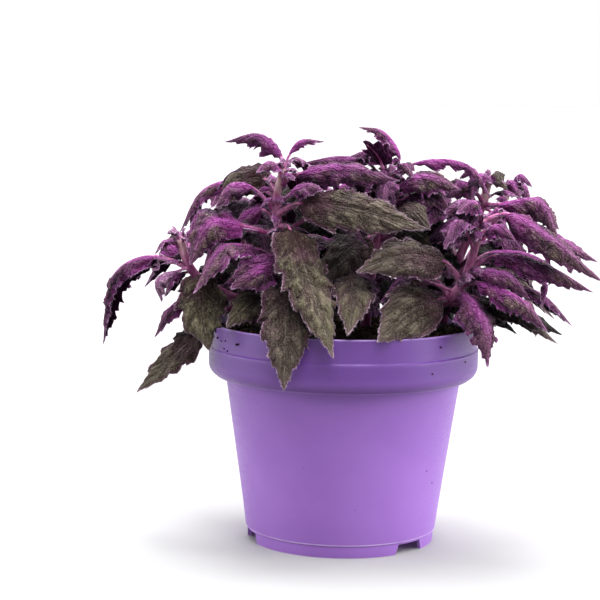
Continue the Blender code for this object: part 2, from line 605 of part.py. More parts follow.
def hidden_collection(name):
    """A collection for what cuts or joins another piece."""
    made = bpy.data.collections.new(name)
    bpy.context.scene.collection.children.link(made)
    return made


def make_pot(collection):
    """The turned pot, with the notches in its foot and the drain holes in its floor."""
    pot = applied(lathe("pot", pot_profile(), TURN_STEPS, collection))
    cutters = hidden_collection("pot_cutters")
    for angle in NOTCH_HEADINGS:
        middle = heading(angle) * (FOOT_R - FOOT_WIDTH / 2)
        bpy.ops.mesh.primitive_cube_add(size=MM, location=(*(middle[:2] * MM), 0), rotation=(0, 0, math.radians(angle)))
        cutter = bpy.context.object
        for vertex in cutter.data.vertices:
            top = vertex.co.z > 0
            vertex.co.x *= NOTCH_LENGTH * (NOTCH_SLANT if top else 1.0)
            vertex.co.y *= FOOT_WIDTH * 4
            vertex.co.z = NOTCH_HEIGHT * MM if top else -MM
        into(cutter, cutters)
    for angle in DRAIN_HEADINGS:
        middle = heading(angle) * DRAIN_AT_R
        bpy.ops.mesh.primitive_cylinder_add(vertices=10, radius=DRAIN_R * MM, depth=10 * MM,
                                            location=(*(middle[:2] * MM), FLOOR_Z * MM))
        into(bpy.context.object, cutters)
    pot = join(pot, cutters, "DIFFERENCE", "EXACT")
    pot.data.shade_smooth()
    pot.data.set_sharp_from_angle(angle=math.radians(35))
    pot.data.materials.clear()
    pot.data.materials.append(material("pot", (0.34, 0.16, 0.53), 0.42))


def into(made, collection):
    """Moves an object to a collection of cutters, and hides it there."""
    for other in list(made.users_collection):
        other.objects.unlink(made)
    collection.objects.link(made)
    made.hide_render = True
    made.display_type = "WIRE"


def soil_height(x, y):
    """The soil's top: low rounded clods over a slight rise to the middle."""
    clods = math.sin(x * 0.21 + 1.3) * math.sin(y * 0.17 - 0.4) + 0.6 * math.sin(x * 0.47 - y * 0.39)
    return SOIL_TOP + 0.9 * clods - SOIL_FALL * (x * x + y * y) / RIM_R ** 2


def make_soil(collection):
    """The soil that fills the pot, with a lumpy top and a plain hole for each stem."""
    soil = applied(lathe("soil", soil_profile(), SOIL_STEPS, collection))
    for vertex in soil.data.vertices:
        if vertex.co.z > (SOIL_TOP - 0.5) * MM:
            vertex.co.z = soil_height(vertex.co.x / MM, vertex.co.y / MM) * MM
    cutters = hidden_collection("soil_cutters")
    for stem, route in STEMS.items():
        hole = stem_tube(stem + "_hole", route, HOLE_GAP, cutters)
        hole.hide_render = True
        hole.display_type = "WIRE"
    soil = join(soil, cutters, "DIFFERENCE", "EXACT")
    keep_largest(soil)
    soil.data.materials.clear()
    soil.data.materials.append(material("soil", (0.022, 0.016, 0.012), 0.95))


def make_shoot(name, leaves, collection):
    """A stem with its leaves grown together in one body."""
    shoot = stem_tube(name, STEMS[name], 0.0, collection)
    blades = hidden_collection(name + "_leaves")
    for k, leaf in enumerate(leaves):
        mesh_object(f"{name}_leaf_{k}", *leaf["mesh"], blades)
    shoot = join(shoot, blades, "UNION", "MANIFOLD")
    keep_largest(shoot)
    age = sum(leaf["age"] for leaf in leaves) / len(leaves)
    old, young = np.array((0.09, 0.085, 0.07)), np.array((0.22, 0.05, 0.20))
    shoot.data.materials.clear()
    shoot.data.materials.append(material(name, tuple(old + (young - old) * age), 0.7))


def main():
    for old in list(bpy.data.objects):
        bpy.data.objects.remove(old)
    collection = bpy.data.collections.new(OBJECT_NAME)
    bpy.context.scene.collection.children.link(collection)
    make_pot(collection)
    make_soil(collection)
    leaves = clear_leaves()
    for name in STEMS:
        make_shoot(name, [leaf for leaf in leaves if leaf["stem"] == name], collection)


main()
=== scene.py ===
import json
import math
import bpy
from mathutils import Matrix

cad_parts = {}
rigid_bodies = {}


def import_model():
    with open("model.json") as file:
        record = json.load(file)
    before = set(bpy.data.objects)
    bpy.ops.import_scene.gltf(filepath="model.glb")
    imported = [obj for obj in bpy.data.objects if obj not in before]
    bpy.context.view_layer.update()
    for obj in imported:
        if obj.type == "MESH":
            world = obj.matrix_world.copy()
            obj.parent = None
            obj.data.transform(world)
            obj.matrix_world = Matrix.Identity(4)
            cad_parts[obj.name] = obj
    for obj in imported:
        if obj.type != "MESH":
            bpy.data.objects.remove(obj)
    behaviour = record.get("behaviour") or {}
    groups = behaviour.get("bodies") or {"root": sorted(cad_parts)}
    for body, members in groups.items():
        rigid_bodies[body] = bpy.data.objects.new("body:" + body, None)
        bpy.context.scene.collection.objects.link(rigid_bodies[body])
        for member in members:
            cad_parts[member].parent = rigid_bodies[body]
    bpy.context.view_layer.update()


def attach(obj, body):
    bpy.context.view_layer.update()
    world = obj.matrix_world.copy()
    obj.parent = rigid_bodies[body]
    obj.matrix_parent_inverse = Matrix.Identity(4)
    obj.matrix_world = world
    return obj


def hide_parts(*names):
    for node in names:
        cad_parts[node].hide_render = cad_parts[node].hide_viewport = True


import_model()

# The looks of a potted purple passion plant: every shoot, the pot and the soil as fine meshes, laid out as in
# the frame. Sizes are in millimetres and angles in degrees, and are turned into metres and radians in use.
from types import SimpleNamespace

import bmesh
import bpy
import numpy as np
from mathutils import Matrix, Vector
from mathutils.bvhtree import BVHTree

MM = 0.001

# The frame's layout: stems from soil to tip
STEM_FOOT_R = 2.5
STEM_TIP_R = 1.7
STEMS = {
    "shoot_left": ((-32, -10, 76), (-36, -13, 100), (-61, -26, 117), (-67, -28, 124), (-71, -27, 136)),
    "shoot_centre_left": ((-20, -12, 76), (-24, -18, 112), (-29, -24, 141), (-30, -23, 153), (-27, -22, 166)),
    "shoot_centre": ((8, 2, 76), (12, 2, 120), (17, 2, 150), (18, 4, 163)),
    "shoot_right": ((28, -10, 76), (36, -16, 102), (50, -28, 117), (55, -27, 131), (57, -26, 144)),
    "shoot_right_top": ((34, 10, 76), (50, 12, 122), (61, 12, 149), (64, 13, 161)),
    "shoot_far_right": ((38, 24, 76), (56, 26, 122), (71, 27, 148), (74, 28, 156)),
    "shoot_back_left": ((-34, 20, 76), (-43, 26, 110), (-49, 30, 136), (-51, 31, 150)),
    "shoot_back": ((-6, 24, 76), (-9, 30, 114), (-11, 36, 142), (-12, 39, 155)),
    "shoot_back_right": ((20, 32, 76), (26, 38, 112), (32, 43, 140), (34, 45, 153)),
}

# The frame's leaves
PETIOLE_HALF = 1.2
PETIOLE_THICK = 2.0
RIB_THICK = 1.1
EDGE_THICK = 0.62
TIP_HALF = 0.35
TOOTH_AT = 0.68
TOOTH_LEAN = 0.14
TOOTH_DEPTH = 0.24
TOOTH_SPACING = 11.5
TEETH = (2, 5)
CURVE_STEPS = 24
CLEARANCE = 0.5
FUSED_SHARE = 0.3
# Columns: stem, place along it, neck, middle and tip of the blade, width, roll, fold, curl, age.
# A fold or curl below 0 turns the edges down; age 1 is a young purple leaf.
LEAVES = (
    ("left", 0.73, (-60, -31, 121), (-60, -38, 107), (-57, -40, 89), 25, 0, -6, -14, 0.15),
    ("left", 0.82, (-83, -18, 127), (-102, -4, 117), (-108, 2, 85), 20, -8, -26, -22, 0.75),
    ("left", 0.83, (-72, -32, 122), (-80, -36, 118), (-78, -36, 109), 10, 0, -40, -40, 1.0),
    ("left", 0.90, (-72, -22, 128), (-79, -16, 131), (-83, -14, 124), 13, -30, -10, -10, 0.7),
    ("left", 0.95, (-74, -18, 136), (-78, -10, 136), (-83, -6, 129), 11, -30, -20, -20, 0.2),
    ("left", 0.69, (-67, -18, 109), (-76, -16, 105), (-83, -16, 91), 14, -35, -15, -20, 0.35),
    ("left", 0.48, (-59, -17, 98), (-74, -16, 84), (-91, -14, 66), 18, -50, 5, -10, 0.05),
    ("left", 0.73, (-58, -24, 130), (-55, -18, 134), (-46, -14, 122), 13, 30, -20, -20, 0.8),
    ("left", 0.99, (-72, -30, 137), (-73, -33, 140), (-75, -36, 139), 7, 0, -20, -20, 1.0),
    ("centre_left", 0.72, (-24, -34, 142), (-14, -54, 120), (-4, -69, 91), 26, 0, -4, -12, 0.08),
    ("centre_left", 0.51, (-26, -40, 118), (-24, -60, 101), (-24, -69, 77), 23, 0, 4, -14, 0.2),
    ("centre_left", 0.67, (-45, -28, 142), (-59, -33, 143), (-67, -32, 125), 21, -55, -10, -16, 0.6),
    ("centre_left", 0.79, (-41, -26, 157), (-50, -28, 157), (-56, -28, 147), 16, -20, -25, -25, 0.95),
    ("centre_left", 0.89, (-35, -12, 161), (-49, -8, 160), (-58, -6, 146), 20, -65, -10, -15, 0.15),
    ("centre_left", 0.86, (-47, 4, 160), (-65, 14, 154), (-75, 14, 135), 14, -20, -30, -30, 0.5),
    ("centre_left", 0.98, (-28, -19, 171), (-38, -14, 180), (-53, -12, 177), 14, -20, -30, -25, 0.8),
    ("centre_left", 0.98, (-25, -20, 172), (-20, -20, 178), (-10, -20, 178), 7, 10, -30, -30, 0.8),
    ("centre_left", 0.96, (-29, -28, 166), (-33, -33, 169), (-38, -36, 165), 12, 0, -15, -20, 0.9),
    ("centre_left", 0.92, (-21, -24, 164), (-1, -28, 168), (23, -26, 162), 22, 30, -30, -15, 0.55),
    ("centre_left", 0.78, (-20, -32, 152), (3, -44, 151), (34, -50, 143), 23, 55, -4, -12, 0.05),
    ("centre_left", 0.41, (-34, -28, 111), (-42, -33, 109), (-52, -36, 99), 16, -45, 0, -14, 0.1),
    ("centre_left", 0.55, (-29, -34, 127), (-37, -42, 124), (-48, -44, 116), 19, -50, 0, -16, 0.6),
    ("centre_left", 0.82, (-23, -30, 156), (-16, -34, 160), (-8, -37, 158), 14, 25, -15, -20, 0.95),
    ("centre_left", 0.75, (-36, -16, 148), (-44, -12, 146), (-51, -10, 135), 19, -50, -10, -20, 0.75),
    ("centre", 0.98, (16, 0, 167), (12, -6, 173), (7, -10, 178), 15, 10, 25, 10, 0.9),
    ("centre", 0.99, (24, 8, 170), (16, 6, 182), (5, 4, 184), 12, -10, -35, -25, 0.6),
    ("centre", 0.97, (22, -4, 165), (25, -8, 169), (29, -12, 163), 13, 15, -15, -20, 0.35),
    ("centre", 0.95, (29, 2, 168), (53, -3, 168), (64, -4, 154), 9, 10, -45, -20, 0.9),
    ("centre", 0.85, (23, -6, 159), (34, -10, 164), (50, -12, 158), 21, 35, -20, -20, 0.4),
    ("centre", 0.84, (26, -4, 153), (37, -8, 156), (48, -10, 148), 19, 35, -15, -20, 0.95),
    ("centre", 0.94, (10, 9, 168), (-3, 12, 170), (-21, 12, 167), 13, -15, -30, -20, 0.8),
    ("centre", 0.96, (14, 6, 167), (8, 8, 171), (0, 6, 168), 12, -20, -20, -20, 0.95),
    ("centre", 0.71, (10, -10, 136), (0, -20, 131), (-8, -28, 117), 24, -30, -8, -14, 0.1),
    ("centre", 0.49, (3, -22, 120), (4, -46, 109), (2, -62, 94), 19, 0, 6, -14, 0.1),
    ("centre", 0.52, (7, -24, 124), (11, -36, 118), (14, -44, 109), 15, 0, -10, -30, 0.7),
    ("centre", 0.79, (24, -8, 149), (31, -14, 150), (41, -18, 141), 16, 35, -15, -20, 0.3),
    ("centre", 0.66, (23, -2, 139), (29, -8, 137), (38, -14, 127), 18, 45, -8, -16, 0.2),
    ("right", 0.66, (43, -34, 128), (25, -46, 132), (5, -54, 125), 23, -50, -4, -14, 0.15),
    ("right", 0.52, (41, -32, 112), (29, -46, 109), (14, -62, 97), 25, -55, 4, -12, 0.05),
    ("right", 0.63, (51, -35, 115), (60, -44, 102), (61, -46, 85), 21, 5, -15, -20, 0.95),
    ("right", 0.72, (64, -30, 131), (86, -32, 127), (106, -32, 116), 19, 20, -30, -20, 0.6),
    ("right", 0.76, (62, -18, 131), (80, -14, 130), (99, -10, 119), 17, 0, -30, -20, 0.7),
    ("right", 0.70, (57, -35, 125), (69, -40, 124), (78, -42, 114), 16, 15, -30, -20, 0.4),
    ("right", 0.66, (57, -37, 121), (75, -44, 116), (87, -46, 104), 19, 10, -25, -20, 0.7),
    ("right", 0.60, (57, -22, 112), (74, -22, 109), (93, -20, 92), 22, 15, -15, -16, 0.2),
    ("right", 0.65, (68, -12, 118), (87, -8, 112), (101, -6, 98), 13, 0, -30, -20, 0.6),
    ("right", 0.94, (54, -30, 145), (48, -34, 152), (42, -36, 149), 17, -30, -10, -20, 0.9),
    ("right", 0.96, (57, -31, 148), (52, -38, 152), (46, -42, 146), 14, -20, -10, -20, 0.85),
    ("right", 0.90, (60, -32, 141), (65, -36, 144), (72, -38, 138), 13, 20, -20, -30, 0.9),
    ("right", 0.99, (68, -28, 149), (85, -36, 141), (108, -46, 122), 21, 25, -30, -20, 0.35),
    ("right", 0.60, (29, -30, 121), (22, -38, 119), (15, -43, 111), 12, -10, -20, -30, 0.8),
    ("right", 0.90, (53, -18, 140), (43, -10, 144), (31, -4, 135), 20, -45, -10, -20, 0.8),
    ("right_top", 0.98, (64, 12, 162), (67, 10, 165), (72, 8, 157), 13, 15, -15, -20, 0.25),
    ("right_top", 0.92, (60, 8, 160), (56, 6, 166), (50, 4, 162), 10, -15, -35, -20, 0.9),
    ("right_top", 0.87, (68, 4, 151), (85, -1, 153), (94, -5, 136), 21, 25, -30, -20, 0.6),
    ("right_top", 0.88, (57, 6, 157), (51, 2, 160), (44, -2, 153), 17, -30, -15, -20, 0.85),
    ("far_right", 0.98, (75, 28, 158), (81, 28, 158), (85, 28, 149), 11, 15, -30, -20, 0.95),
    ("far_right", 0.97, (74, 24, 158), (75, 20, 160), (79, 18, 152), 11, 10, -20, -20, 0.9),
    ("far_right", 0.86, (84, 17, 142), (98, 5, 134.5), (110.6, -10, 127), 15, 15, -25, -20, 0.7),
    ("far_right", 0.87, (78, 16, 148), (89, 12, 147), (95, 10, 137), 16, 25, -20, -20, 0.6),
    ("right", 0.72, (84, -24, 120), (87, -24, 118), (85, -26, 108), 7, 20, -25, -20, 0.8),
    ("left", 0.80, (-69, -24, 121), (-74, -24, 119), (-78, -23, 110), 13, 0, -15, -20, 0.5),
)
# Leaves deep among the stems, with the same columns
DEEP_LEAVES = (
    ("back", 0.90, (-14, 28, 154), (-23, 17, 158), (-31, 6, 146), 24, 0, -10, -15, 0.3),
    ("centre", 0.72, (2, 4, 145), (-12, 6, 146), (-30, 7, 139), 24, -50, -10, -15, 0.3),
    ("centre", 0.86, (25, 7, 155), (35, 9, 153), (46, 7, 138), 22, 20, -10, -15, 0.3),
    ("centre", 0.88, (12, 11, 157), (7, 15, 160), (0, 17, 150), 18, 0, -10, -15, 0.5),
    ("right_top", 0.50, (56, 6, 127), (66, 2, 132), (78, -2, 122), 22, 20, -10, -15, 0.3),
    ("back_left", 0.84, (-48, 20, 148), (-48, 10, 150), (-50, 2, 139), 24, 0, -10, -15, 0.4),
    ("back_left", 0.36, (-44, 16, 111), (-50, 8, 114), (-54, 0, 104), 22, 0, -10, -15, 0.2),
    ("right_top", 0.34, (42, 4, 113), (37, -2, 117), (30, -8, 108), 22, 0, -10, -15, 0.2),
    ("centre", 0.42, (17, -5, 115), (22, -11, 117), (25, -18, 102), 24, 0, -10, -15, 0.2),
    ("right_top", 0.28, (49, 5, 105), (54, -1, 107), (57, -8, 100), 20, 0, -10, -15, 0.2),
    ("right_top", 0.44, (51, 4, 117), (56, -2, 118), (61, -8, 107), 20, 0, -10, -15, 0.4),
    ("back_left", 0.76, (-45, 21, 142), (-38, 13, 144), (-30, 7, 134), 20, 0, -10, -15, 0.4),
    ("left", 0.60, (-48, -9, 120), (-53, -2, 124), (-56, 5, 112), 24, 0, -10, -15, 0.3),
    ("back", 0.30, (-7, 19, 106), (-6, 9, 108), (-5, -1, 100), 20, 0, -10, -15, 0.2),
    ("right", 0.50, (58, -31, 110), (74, -35, 106.5), (91, -37, 93), 17, 15, -15, -18, 0.1),
)
# Small leaves in the gaps between the others. Columns: stem, place along it, neck, middle, tip, width, age.
SMALL_LEAVES = (
    ("centre_left", 0.84, (-27, -12, 152), (-26, -8, 146), (-26, -6, 138), 12, 0.2),
    ("back_left", 0.80, (-51, 22, 141), (-52, 12, 136), (-52, 6, 127), 14, 0.2),
    ("centre", 0.90, (13, 8, 160), (11, 11, 156), (10, 12, 149), 11, 0.5),
    ("centre", 0.85, (22, 8, 157), (24, 12, 152), (25, 14, 144), 13, 0.3),
    ("right_top", 0.55, (47, 9, 128), (45, 7, 122), (44, 6, 112), 14, 0.3),
    ("right_top", 0.30, (46, 12, 107), (48, 10, 103), (49, 8, 98), 10, 0.2),
    ("back_left", 0.25, (-50, 12, 108), (-52, 6, 105), (-53, 1, 99), 11, 0.2),
    ("centre_left", 0.85, (-35, -12, 156), (-39, -6, 152), (-43, -2, 146), 12, 0.6),
    ("centre_left", 0.97, (-24, -20, 170), (-19, -16, 169), (-13, -12, 163), 10, 1.0),
    ("far_right", 0.96, (76, 24, 160), (79, 22, 163), (84, 18, 158), 9, 0.9),
    ("centre_left", 0.90, (-38, -4, 163), (-49, 0, 164), (-57, 2, 156), 10, 0.4),
    ("centre", 0.95, (21, 6, 165), (24, 9, 162), (26, 11, 155), 11, 0.6),
    ("centre", 0.99, (20, 6, 168), (22, 8, 170), (24, 9, 164), 7, 0.9),
    ("centre_left", 0.93, (-23, -14, 164), (-22, -8, 161), (-21, -3, 154), 11, 0.7),
    ("right_top", 0.95, (60, 6, 164), (57, 0, 161), (55, -4, 153), 9, 0.9),
    ("right", 0.48, (60, -14, 106), (68, -12, 103), (76, -12, 95), 13, 0.1),
    ("back_left", 0.93, (-53, 22, 152), (-57, 12, 154), (-60, 4, 147), 11, 0.6),
    ("right_top", 0.85, (58, 6, 152), (56, 2, 148), (54, -2, 140), 10, 0.8),
)
# Leaves that fill a stem's other sides: how many, where on the stem, longest and shortest, first heading
FILL = {
    "shoot_left": (2, 0.50, 0.86, 44, 28, 100),
    "shoot_centre_left": (4, 0.40, 0.80, 50, 34, 150),
    "shoot_centre": (5, 0.42, 0.82, 54, 34, 170),
    "shoot_right": (2, 0.55, 0.85, 44, 30, 190),
    "shoot_right_top": (4, 0.40, 0.85, 48, 30, 60),
    "shoot_far_right": (5, 0.35, 0.85, 54, 28, 120),
    "shoot_back_left": (9, 0.34, 0.98, 66, 22, 200),
    "shoot_back": (9, 0.34, 0.98, 60, 22, 180),
    "shoot_back_right": (9, 0.34, 0.98, 66, 22, 150),
}
FILL_WIDTH = 0.48
FILL_REACH = (97, 71, 70)
GOLDEN_ANGLE = 137.5
# How a leaf may swing to come clear of what it meets, and how far a placed and a filling one may
YAWS = (0, 6, -6, 12, -12, 20, -20, 30, -30, 45, -45)
PITCHES = (0, 5, -5, 10, -10, 18, -18)
PLACED_TURN = 24
FREE_TURN = 90

# The pot's sizes
RIM_TOP = 97.2
RIM_R = 59.0
COLLAR_R = 60.0
STEP_Z = 86.6
LIP_Z = 73.5
LIP_R = 58.2
BODY_TOP_R = 51.7
BODY_FOOT_R = 42.6
FOOT_LINE_Z = 5.6
FOOT_R = 41.8
FOOT_WIDTH = 1.9
FLOOR_Z = 5.0
WALL = 1.3
NOTCH_HEADINGS = (47, 167, 287)
NOTCH_LENGTH = 17.5
NOTCH_HEIGHT = 4.6
NOTCH_SLANT = 0.78
DRAIN_HEADINGS = (10, 100, 190, 280)
DRAIN_AT_R = 24.0
DRAIN_R = 4.0
SOIL_TOP = 94.5
SOIL_FALL = 2.2
SOIL_GAP = 0.5
# Half of the frame's pot section: radius and height, up the inside and down the outside
POT_INSIDE = (
    (0, FLOOR_Z + WALL),
    (BODY_FOOT_R - WALL, FLOOR_Z + WALL),
    (BODY_TOP_R - WALL, LIP_Z + 0.3),
    (LIP_R - WALL + 0.6, LIP_Z + 1.1),
    (COLLAR_R - WALL - 0.2, STEP_Z - 1.0),
    (RIM_R - WALL - 0.2, RIM_TOP - 0.8),
)
POT_OUTSIDE = (
    (RIM_R - 0.8, RIM_TOP),
    (RIM_R, RIM_TOP - 0.8),
    (RIM_R + 0.3, STEP_Z + 0.4),
    (COLLAR_R, STEP_Z),
    (COLLAR_R, LIP_Z + 2.5),
    (LIP_R, LIP_Z),
    (BODY_TOP_R, LIP_Z - 0.7),
    (BODY_FOOT_R, FOOT_LINE_Z),
    (FOOT_R, FOOT_LINE_Z - 0.6),
    (FOOT_R, 0),
    (FOOT_R - FOOT_WIDTH, 0),
    (FOOT_R - FOOT_WIDTH, FLOOR_Z),
    (0, FLOOR_Z),
)
POT_STEPS = 180
POT_CREASE = 32

# The fine leaves: the size of their grid's cells, where on its stalk a blade's grid starts, how far a side
# vein runs ahead, and the blade's thickness
CELL = 1.0
BLADE_START = 0.45
SLANT = 0.75
BLADE_THICK = 0.34
# The spacing of an old and a young leaf's small teeth, and a small tooth's height at each of its rows
OLD_TOOTH = 5.2
YOUNG_TOOTH = 3.8
TOOTH_FORM = (0.0, 0.25, 0.6, 1.0)
# A blade with longer lobes than this has one more. The rows of points on a leaf's stalk: their spacing, and
# how few and how many. How few and how many columns of points half a leaf has
LONG_LOBE = 11
WING_ROW = 1.6
WING_ROWS = (3, 14)
HALF_COLUMNS = (3, 13)
# How far teeth and lobes shift from even spacing, how deep lobes are beside the frame's teeth, how far they
# lean, and how far the two ears at a blade's base lean back
TOOTH_SWING = 0.028
LOBE_SWAY = 0.16
LOBE_OFFSET = 0.3
LOBE_DEPTHS = (0.45, 1.15)
LOBE_LEAN = 0.26
EAR = 0.09
# The width of the wrinkles that run along a blade, and its margin's ripples: height, how often, how far along
WRINKLE = 1.55
RIPPLES = ((0.35, 2.3, 2.1), (0.22, 4.1, 3.3))
# The spacing of the rings along stems and stalks
STEM_STEP = 1.4
STALK_STEP = 1.9
# How much wider than the frame's a fine blade is, also deep among the stems, and how much darker it is
# painted there, as painted shade
BREADTH = 1.06
DEEP_BREADTH = 1.22
DEEP_SHADE = 1.25
# The small leaves at a stem's tip: how many, longest and shortest
CROWN = (5, 9, 5)
# The small leaf in the axil of a leaf at least this wide: shortest and longest
AXIL = (9.0, 16.0)
AXIL_FROM_WIDTH = 13
# The finishes of a shoot, by their place in its list, and the age at which a leaf is a young one
OLD_FACE, YOUNG_FACE, UNDER_FACE, STALK = range(4)
YOUNG_FROM = 0.32
STEM_SIDES = 14
STALK_SIDES = 7
# Edges sharper than this stay sharp on shoots and on soil
SHOOT_CREASE = 55
SOIL_CREASE = 50

# How deep a point lies among the leaves, which sets the painted shade there: how many directions it looks in,
# from how far off its face and how far; which rows and columns of a leaf's points and which of the stem's
# points look
DEPTH_LOOKS = 30
DEPTH_START = 2.2
DEPTH_REACH = 75.0
DEPTH_ROWS = 6
DEPTH_COLUMNS = (0.15, 0.5, 0.85)
DEPTH_STEP = 4
# From which depth to which painted shade darkens a finish, and how dark it gets, on leaves and hairs and on
# stems
DEPTHS = (0.26, 0.78)
DARKEST_PAINTED_SHADE = 0.07
STEM_DARKEST_PAINTED_SHADE = 0.62

# Hairs: how many to a square millimetre above, below and on stems, and to a millimetre of margin; thickness
TOP_HAIRS = 0.15
UNDER_HAIRS = 0.05
STEM_HAIRS = 1.6
MARGIN_HAIRS = 3.0
HAIR_THICK = 0.09
HAIR_SUNK = 0.12

# The soil's grid, its crumbs, and the specks that stick to the pot: heading, height, size
SOIL_RINGS = 46
SOIL_SPOKES = 150
CRUMBS = 1500
SPECKS = (
    (-71, 94.6, 0.8), (-67, 92.2, 0.65), (-63, 91.4, 0.5), (-59, 92.0, 0.45), (-50, 91.5, 0.7),
    (-49, 91.8, 0.6), (-57, 87.9, 0.65), (-60, 88.4, 0.45), (-56, 86.5, 0.35), (44, 92.6, 0.7),
    (39, 81.8, 0.65), (61, 84.5, 0.6), (17, 71.6, 0.6), (23, 71.4, 0.7), (-45, 66.4, 0.6),
    (-42, 64.5, 0.45), (52, 36.5, 0.5), (60, 30.0, 0.45), (-20, 40.0, 0.35), (8, 22.0, 0.3),
    (130, 60.0, 0.6), (150, 88.0, 0.7), (200, 45.0, 0.5), (250, 80.0, 0.65),
)

# A leaf's tones: dark, where painted shade falls in its hollows and grooves; lit on what is raised, as
# painted light, where it is worn, fresh or ruddy; of the painted highlights, the base, the violet tint that
# is painted sheen along rib and margin and a real tint in patches, the veins and the margin. Then how
# strongly these last five show
LEAF_TONES = {
    "leaf_old": {
        "dark": (0.034, 0.023, 0.018), "worn": (0.310, 0.285, 0.175), "fresh": (0.310, 0.285, 0.175),
        "ruddy": (0.300, 0.215, 0.205), "glint": (0.48, 0.45, 0.36), "base": (0.046, 0.018, 0.018),
        "blush_and_painted_sheen": (0.170, 0.062, 0.115), "vein": (0.44, 0.39, 0.31), "margin": (0.66, 0.46, 0.60),
    },
    "leaf_young": {
        "dark": (0.011, 0.003, 0.008), "worn": (0.265, 0.200, 0.140), "fresh": (0.205, 0.118, 0.118),
        "ruddy": (0.150, 0.055, 0.090), "glint": (0.85, 0.62, 0.78), "base": (0.190, 0.016, 0.125),
        "blush_and_painted_sheen": (0.470, 0.080, 0.415), "vein": (0.700, 0.230, 0.590), "margin": (0.95, 0.54, 0.90),
    },
    "leaf_underside": {
        "dark": (0.010, 0.001, 0.007), "worn": (0.070, 0.006, 0.044), "fresh": (0.070, 0.006, 0.044),
        "ruddy": (0.060, 0.006, 0.036), "glint": (0.20, 0.05, 0.16), "base": (0.050, 0.005, 0.038),
        "blush_and_painted_sheen": (0.080, 0.007, 0.066), "vein": (0.20, 0.03, 0.15), "margin": (0.60, 0.26, 0.52),
    },
}
LEAF_SHARES = {
    "leaf_old": {"glint": 0.26, "base": 0.90, "blush_and_painted_sheen": 0.90, "vein": 0.36, "margin": 0.95},
    "leaf_young": {"glint": 0.32, "base": 0.75, "blush_and_painted_sheen": 1.00, "vein": 0.45, "margin": 1.00},
    "leaf_underside": {"glint": 0.25, "base": 0.60, "blush_and_painted_sheen": 0.80, "vein": 0.55, "margin": 0.75},
}
# The down on the youngest leaves
DOWN_TONE = (0.860, 0.540, 0.760)
# The stem's darker and lighter tone, low down, higher up and at its tip
STEM_LOW = ((0.060, 0.004, 0.034), (0.170, 0.016, 0.100))
STEM_HIGH = ((0.330, 0.050, 0.200), (0.650, 0.230, 0.450))
STEM_PEACH = ((0.780, 0.460, 0.470), (0.960, 0.740, 0.710))
# The hairs' darker and lighter tone on old and young leaves, and at their tips
OLD_HAIR = ((0.38, 0.26, 0.32), (0.78, 0.64, 0.66))
YOUNG_HAIR = ((0.56, 0.20, 0.56), (1.00, 0.66, 0.98))
HAIR_TIP = (0.90, 0.75, 0.88)
# The pot's plastic, the darker tone painted as shade on its collar and the top of its body, its scuffs, and
# the pale lines on its edges that are partly wear and partly painted highlight
POT_BODY = ((0.325, 0.142, 0.555), (0.355, 0.161, 0.595))
POT_PAINTED_SHADE = (0.120, 0.038, 0.250)
POT_SCUFF = (0.44, 0.25, 0.66)
POT_WEAR_AND_HIGHLIGHT = (0.66, 0.46, 0.86)
# The pale edges, partly wear and partly painted highlight: height, how far each reaches and how strong it is
WORN_AND_HIGHLIGHT_EDGES = (
    (RIM_TOP - 0.1, 0.7, 0.25),
    (LIP_Z + 0.3, 0.6, 0.30),
    (FOOT_LINE_Z + 0.1, 0.55, 0.90),
    (0.0, 0.5, 0.5),
)
# The peat and its browner crumbs
PEAT = ((0.006, 0.004, 0.004), (0.030, 0.019, 0.013))
CRUMB_TONE = (0.105, 0.055, 0.030)

# The camera, in metres: its place, and its picture's right and up directions
CAMERA_PLACE = (0.0, -0.800, 0.1987)
CAMERA_RIGHT = (0.99954009, 0.02631694, 0.01506721)
CAMERA_UP = (-0.01796802, 0.11371902, 0.99335046)
LENS = 108.4
SENSOR = 36.0
# The surroundings' brightness as a light, from above and below, and as seen in the picture and in gloss
SKY_LIGHT = 0.10
BELOW_LIGHT = 0.28
SKY_SEEN = 1.0
# The floor's radius in metres, and its tone
FLOOR_R = 30.0
FLOOR_TONE = 0.42
# The lamps: name, heading they shine from, height above the floor, strength and spread
LAMPS = (
    ("key", 15, 60, 2.8, 50),
    ("top", 180, 78, 3.9, 35),
    ("back", 180, 50, 1.9, 35),
    ("front", 10, 20, 0.5, 70),
    ("right", 80, 13, 2.2, 35),
    ("right_back", 118, 18, 1.9, 30),
    ("left", -82, 13, 1.5, 35),
    ("left_back", -118, 18, 1.1, 30),
)


def unit(vectors):
    """The vectors at length 1."""
    return vectors / np.maximum(np.linalg.norm(vectors, axis=-1, keepdims=True), 1e-9)


def heading(degrees):
    """The level direction at an angle from the front."""
    return np.array([math.sin(math.radians(degrees)), -math.cos(math.radians(degrees)), 0.0])


def smooth_curve(points):
    """Points along a centripetal Catmull-Rom curve through the points given."""
    p = np.asarray(points, float)
    p = np.vstack([2 * p[0] - p[1], p, 2 * p[-1] - p[-2]])
    out = []
    for k in range(1, len(p) - 2):
        q = p[k - 1:k + 3]
        knot = np.concatenate([[0], np.cumsum(np.sqrt(np.linalg.norm(np.diff(q, axis=0), axis=1)))])
        u = np.linspace(knot[1], knot[2], CURVE_STEPS, endpoint=False)[:, None]
        for width in (1, 2, 3):
            low = knot[:4 - width] if width < 3 else knot[1:2]
            high = knot[width:] if width < 3 else knot[2:3]
            q = [((b - u) * q[i] + (u - a) * q[i + 1]) / (b - a) for i, (a, b) in enumerate(zip(low, high))]
        out.append(q[0])
    return np.vstack(out + [p[-2:-1]])


def lengths_along(curve):
    """The distance from a curve's start to each of its points."""
    return np.concatenate([[0], np.cumsum(np.linalg.norm(np.diff(curve, axis=0), axis=1))])


def between(places, known, rows):
    """Rows of values that are known at some places, at other places."""
    return np.stack([np.interp(places, known, column) for column in rows.T], axis=-1)


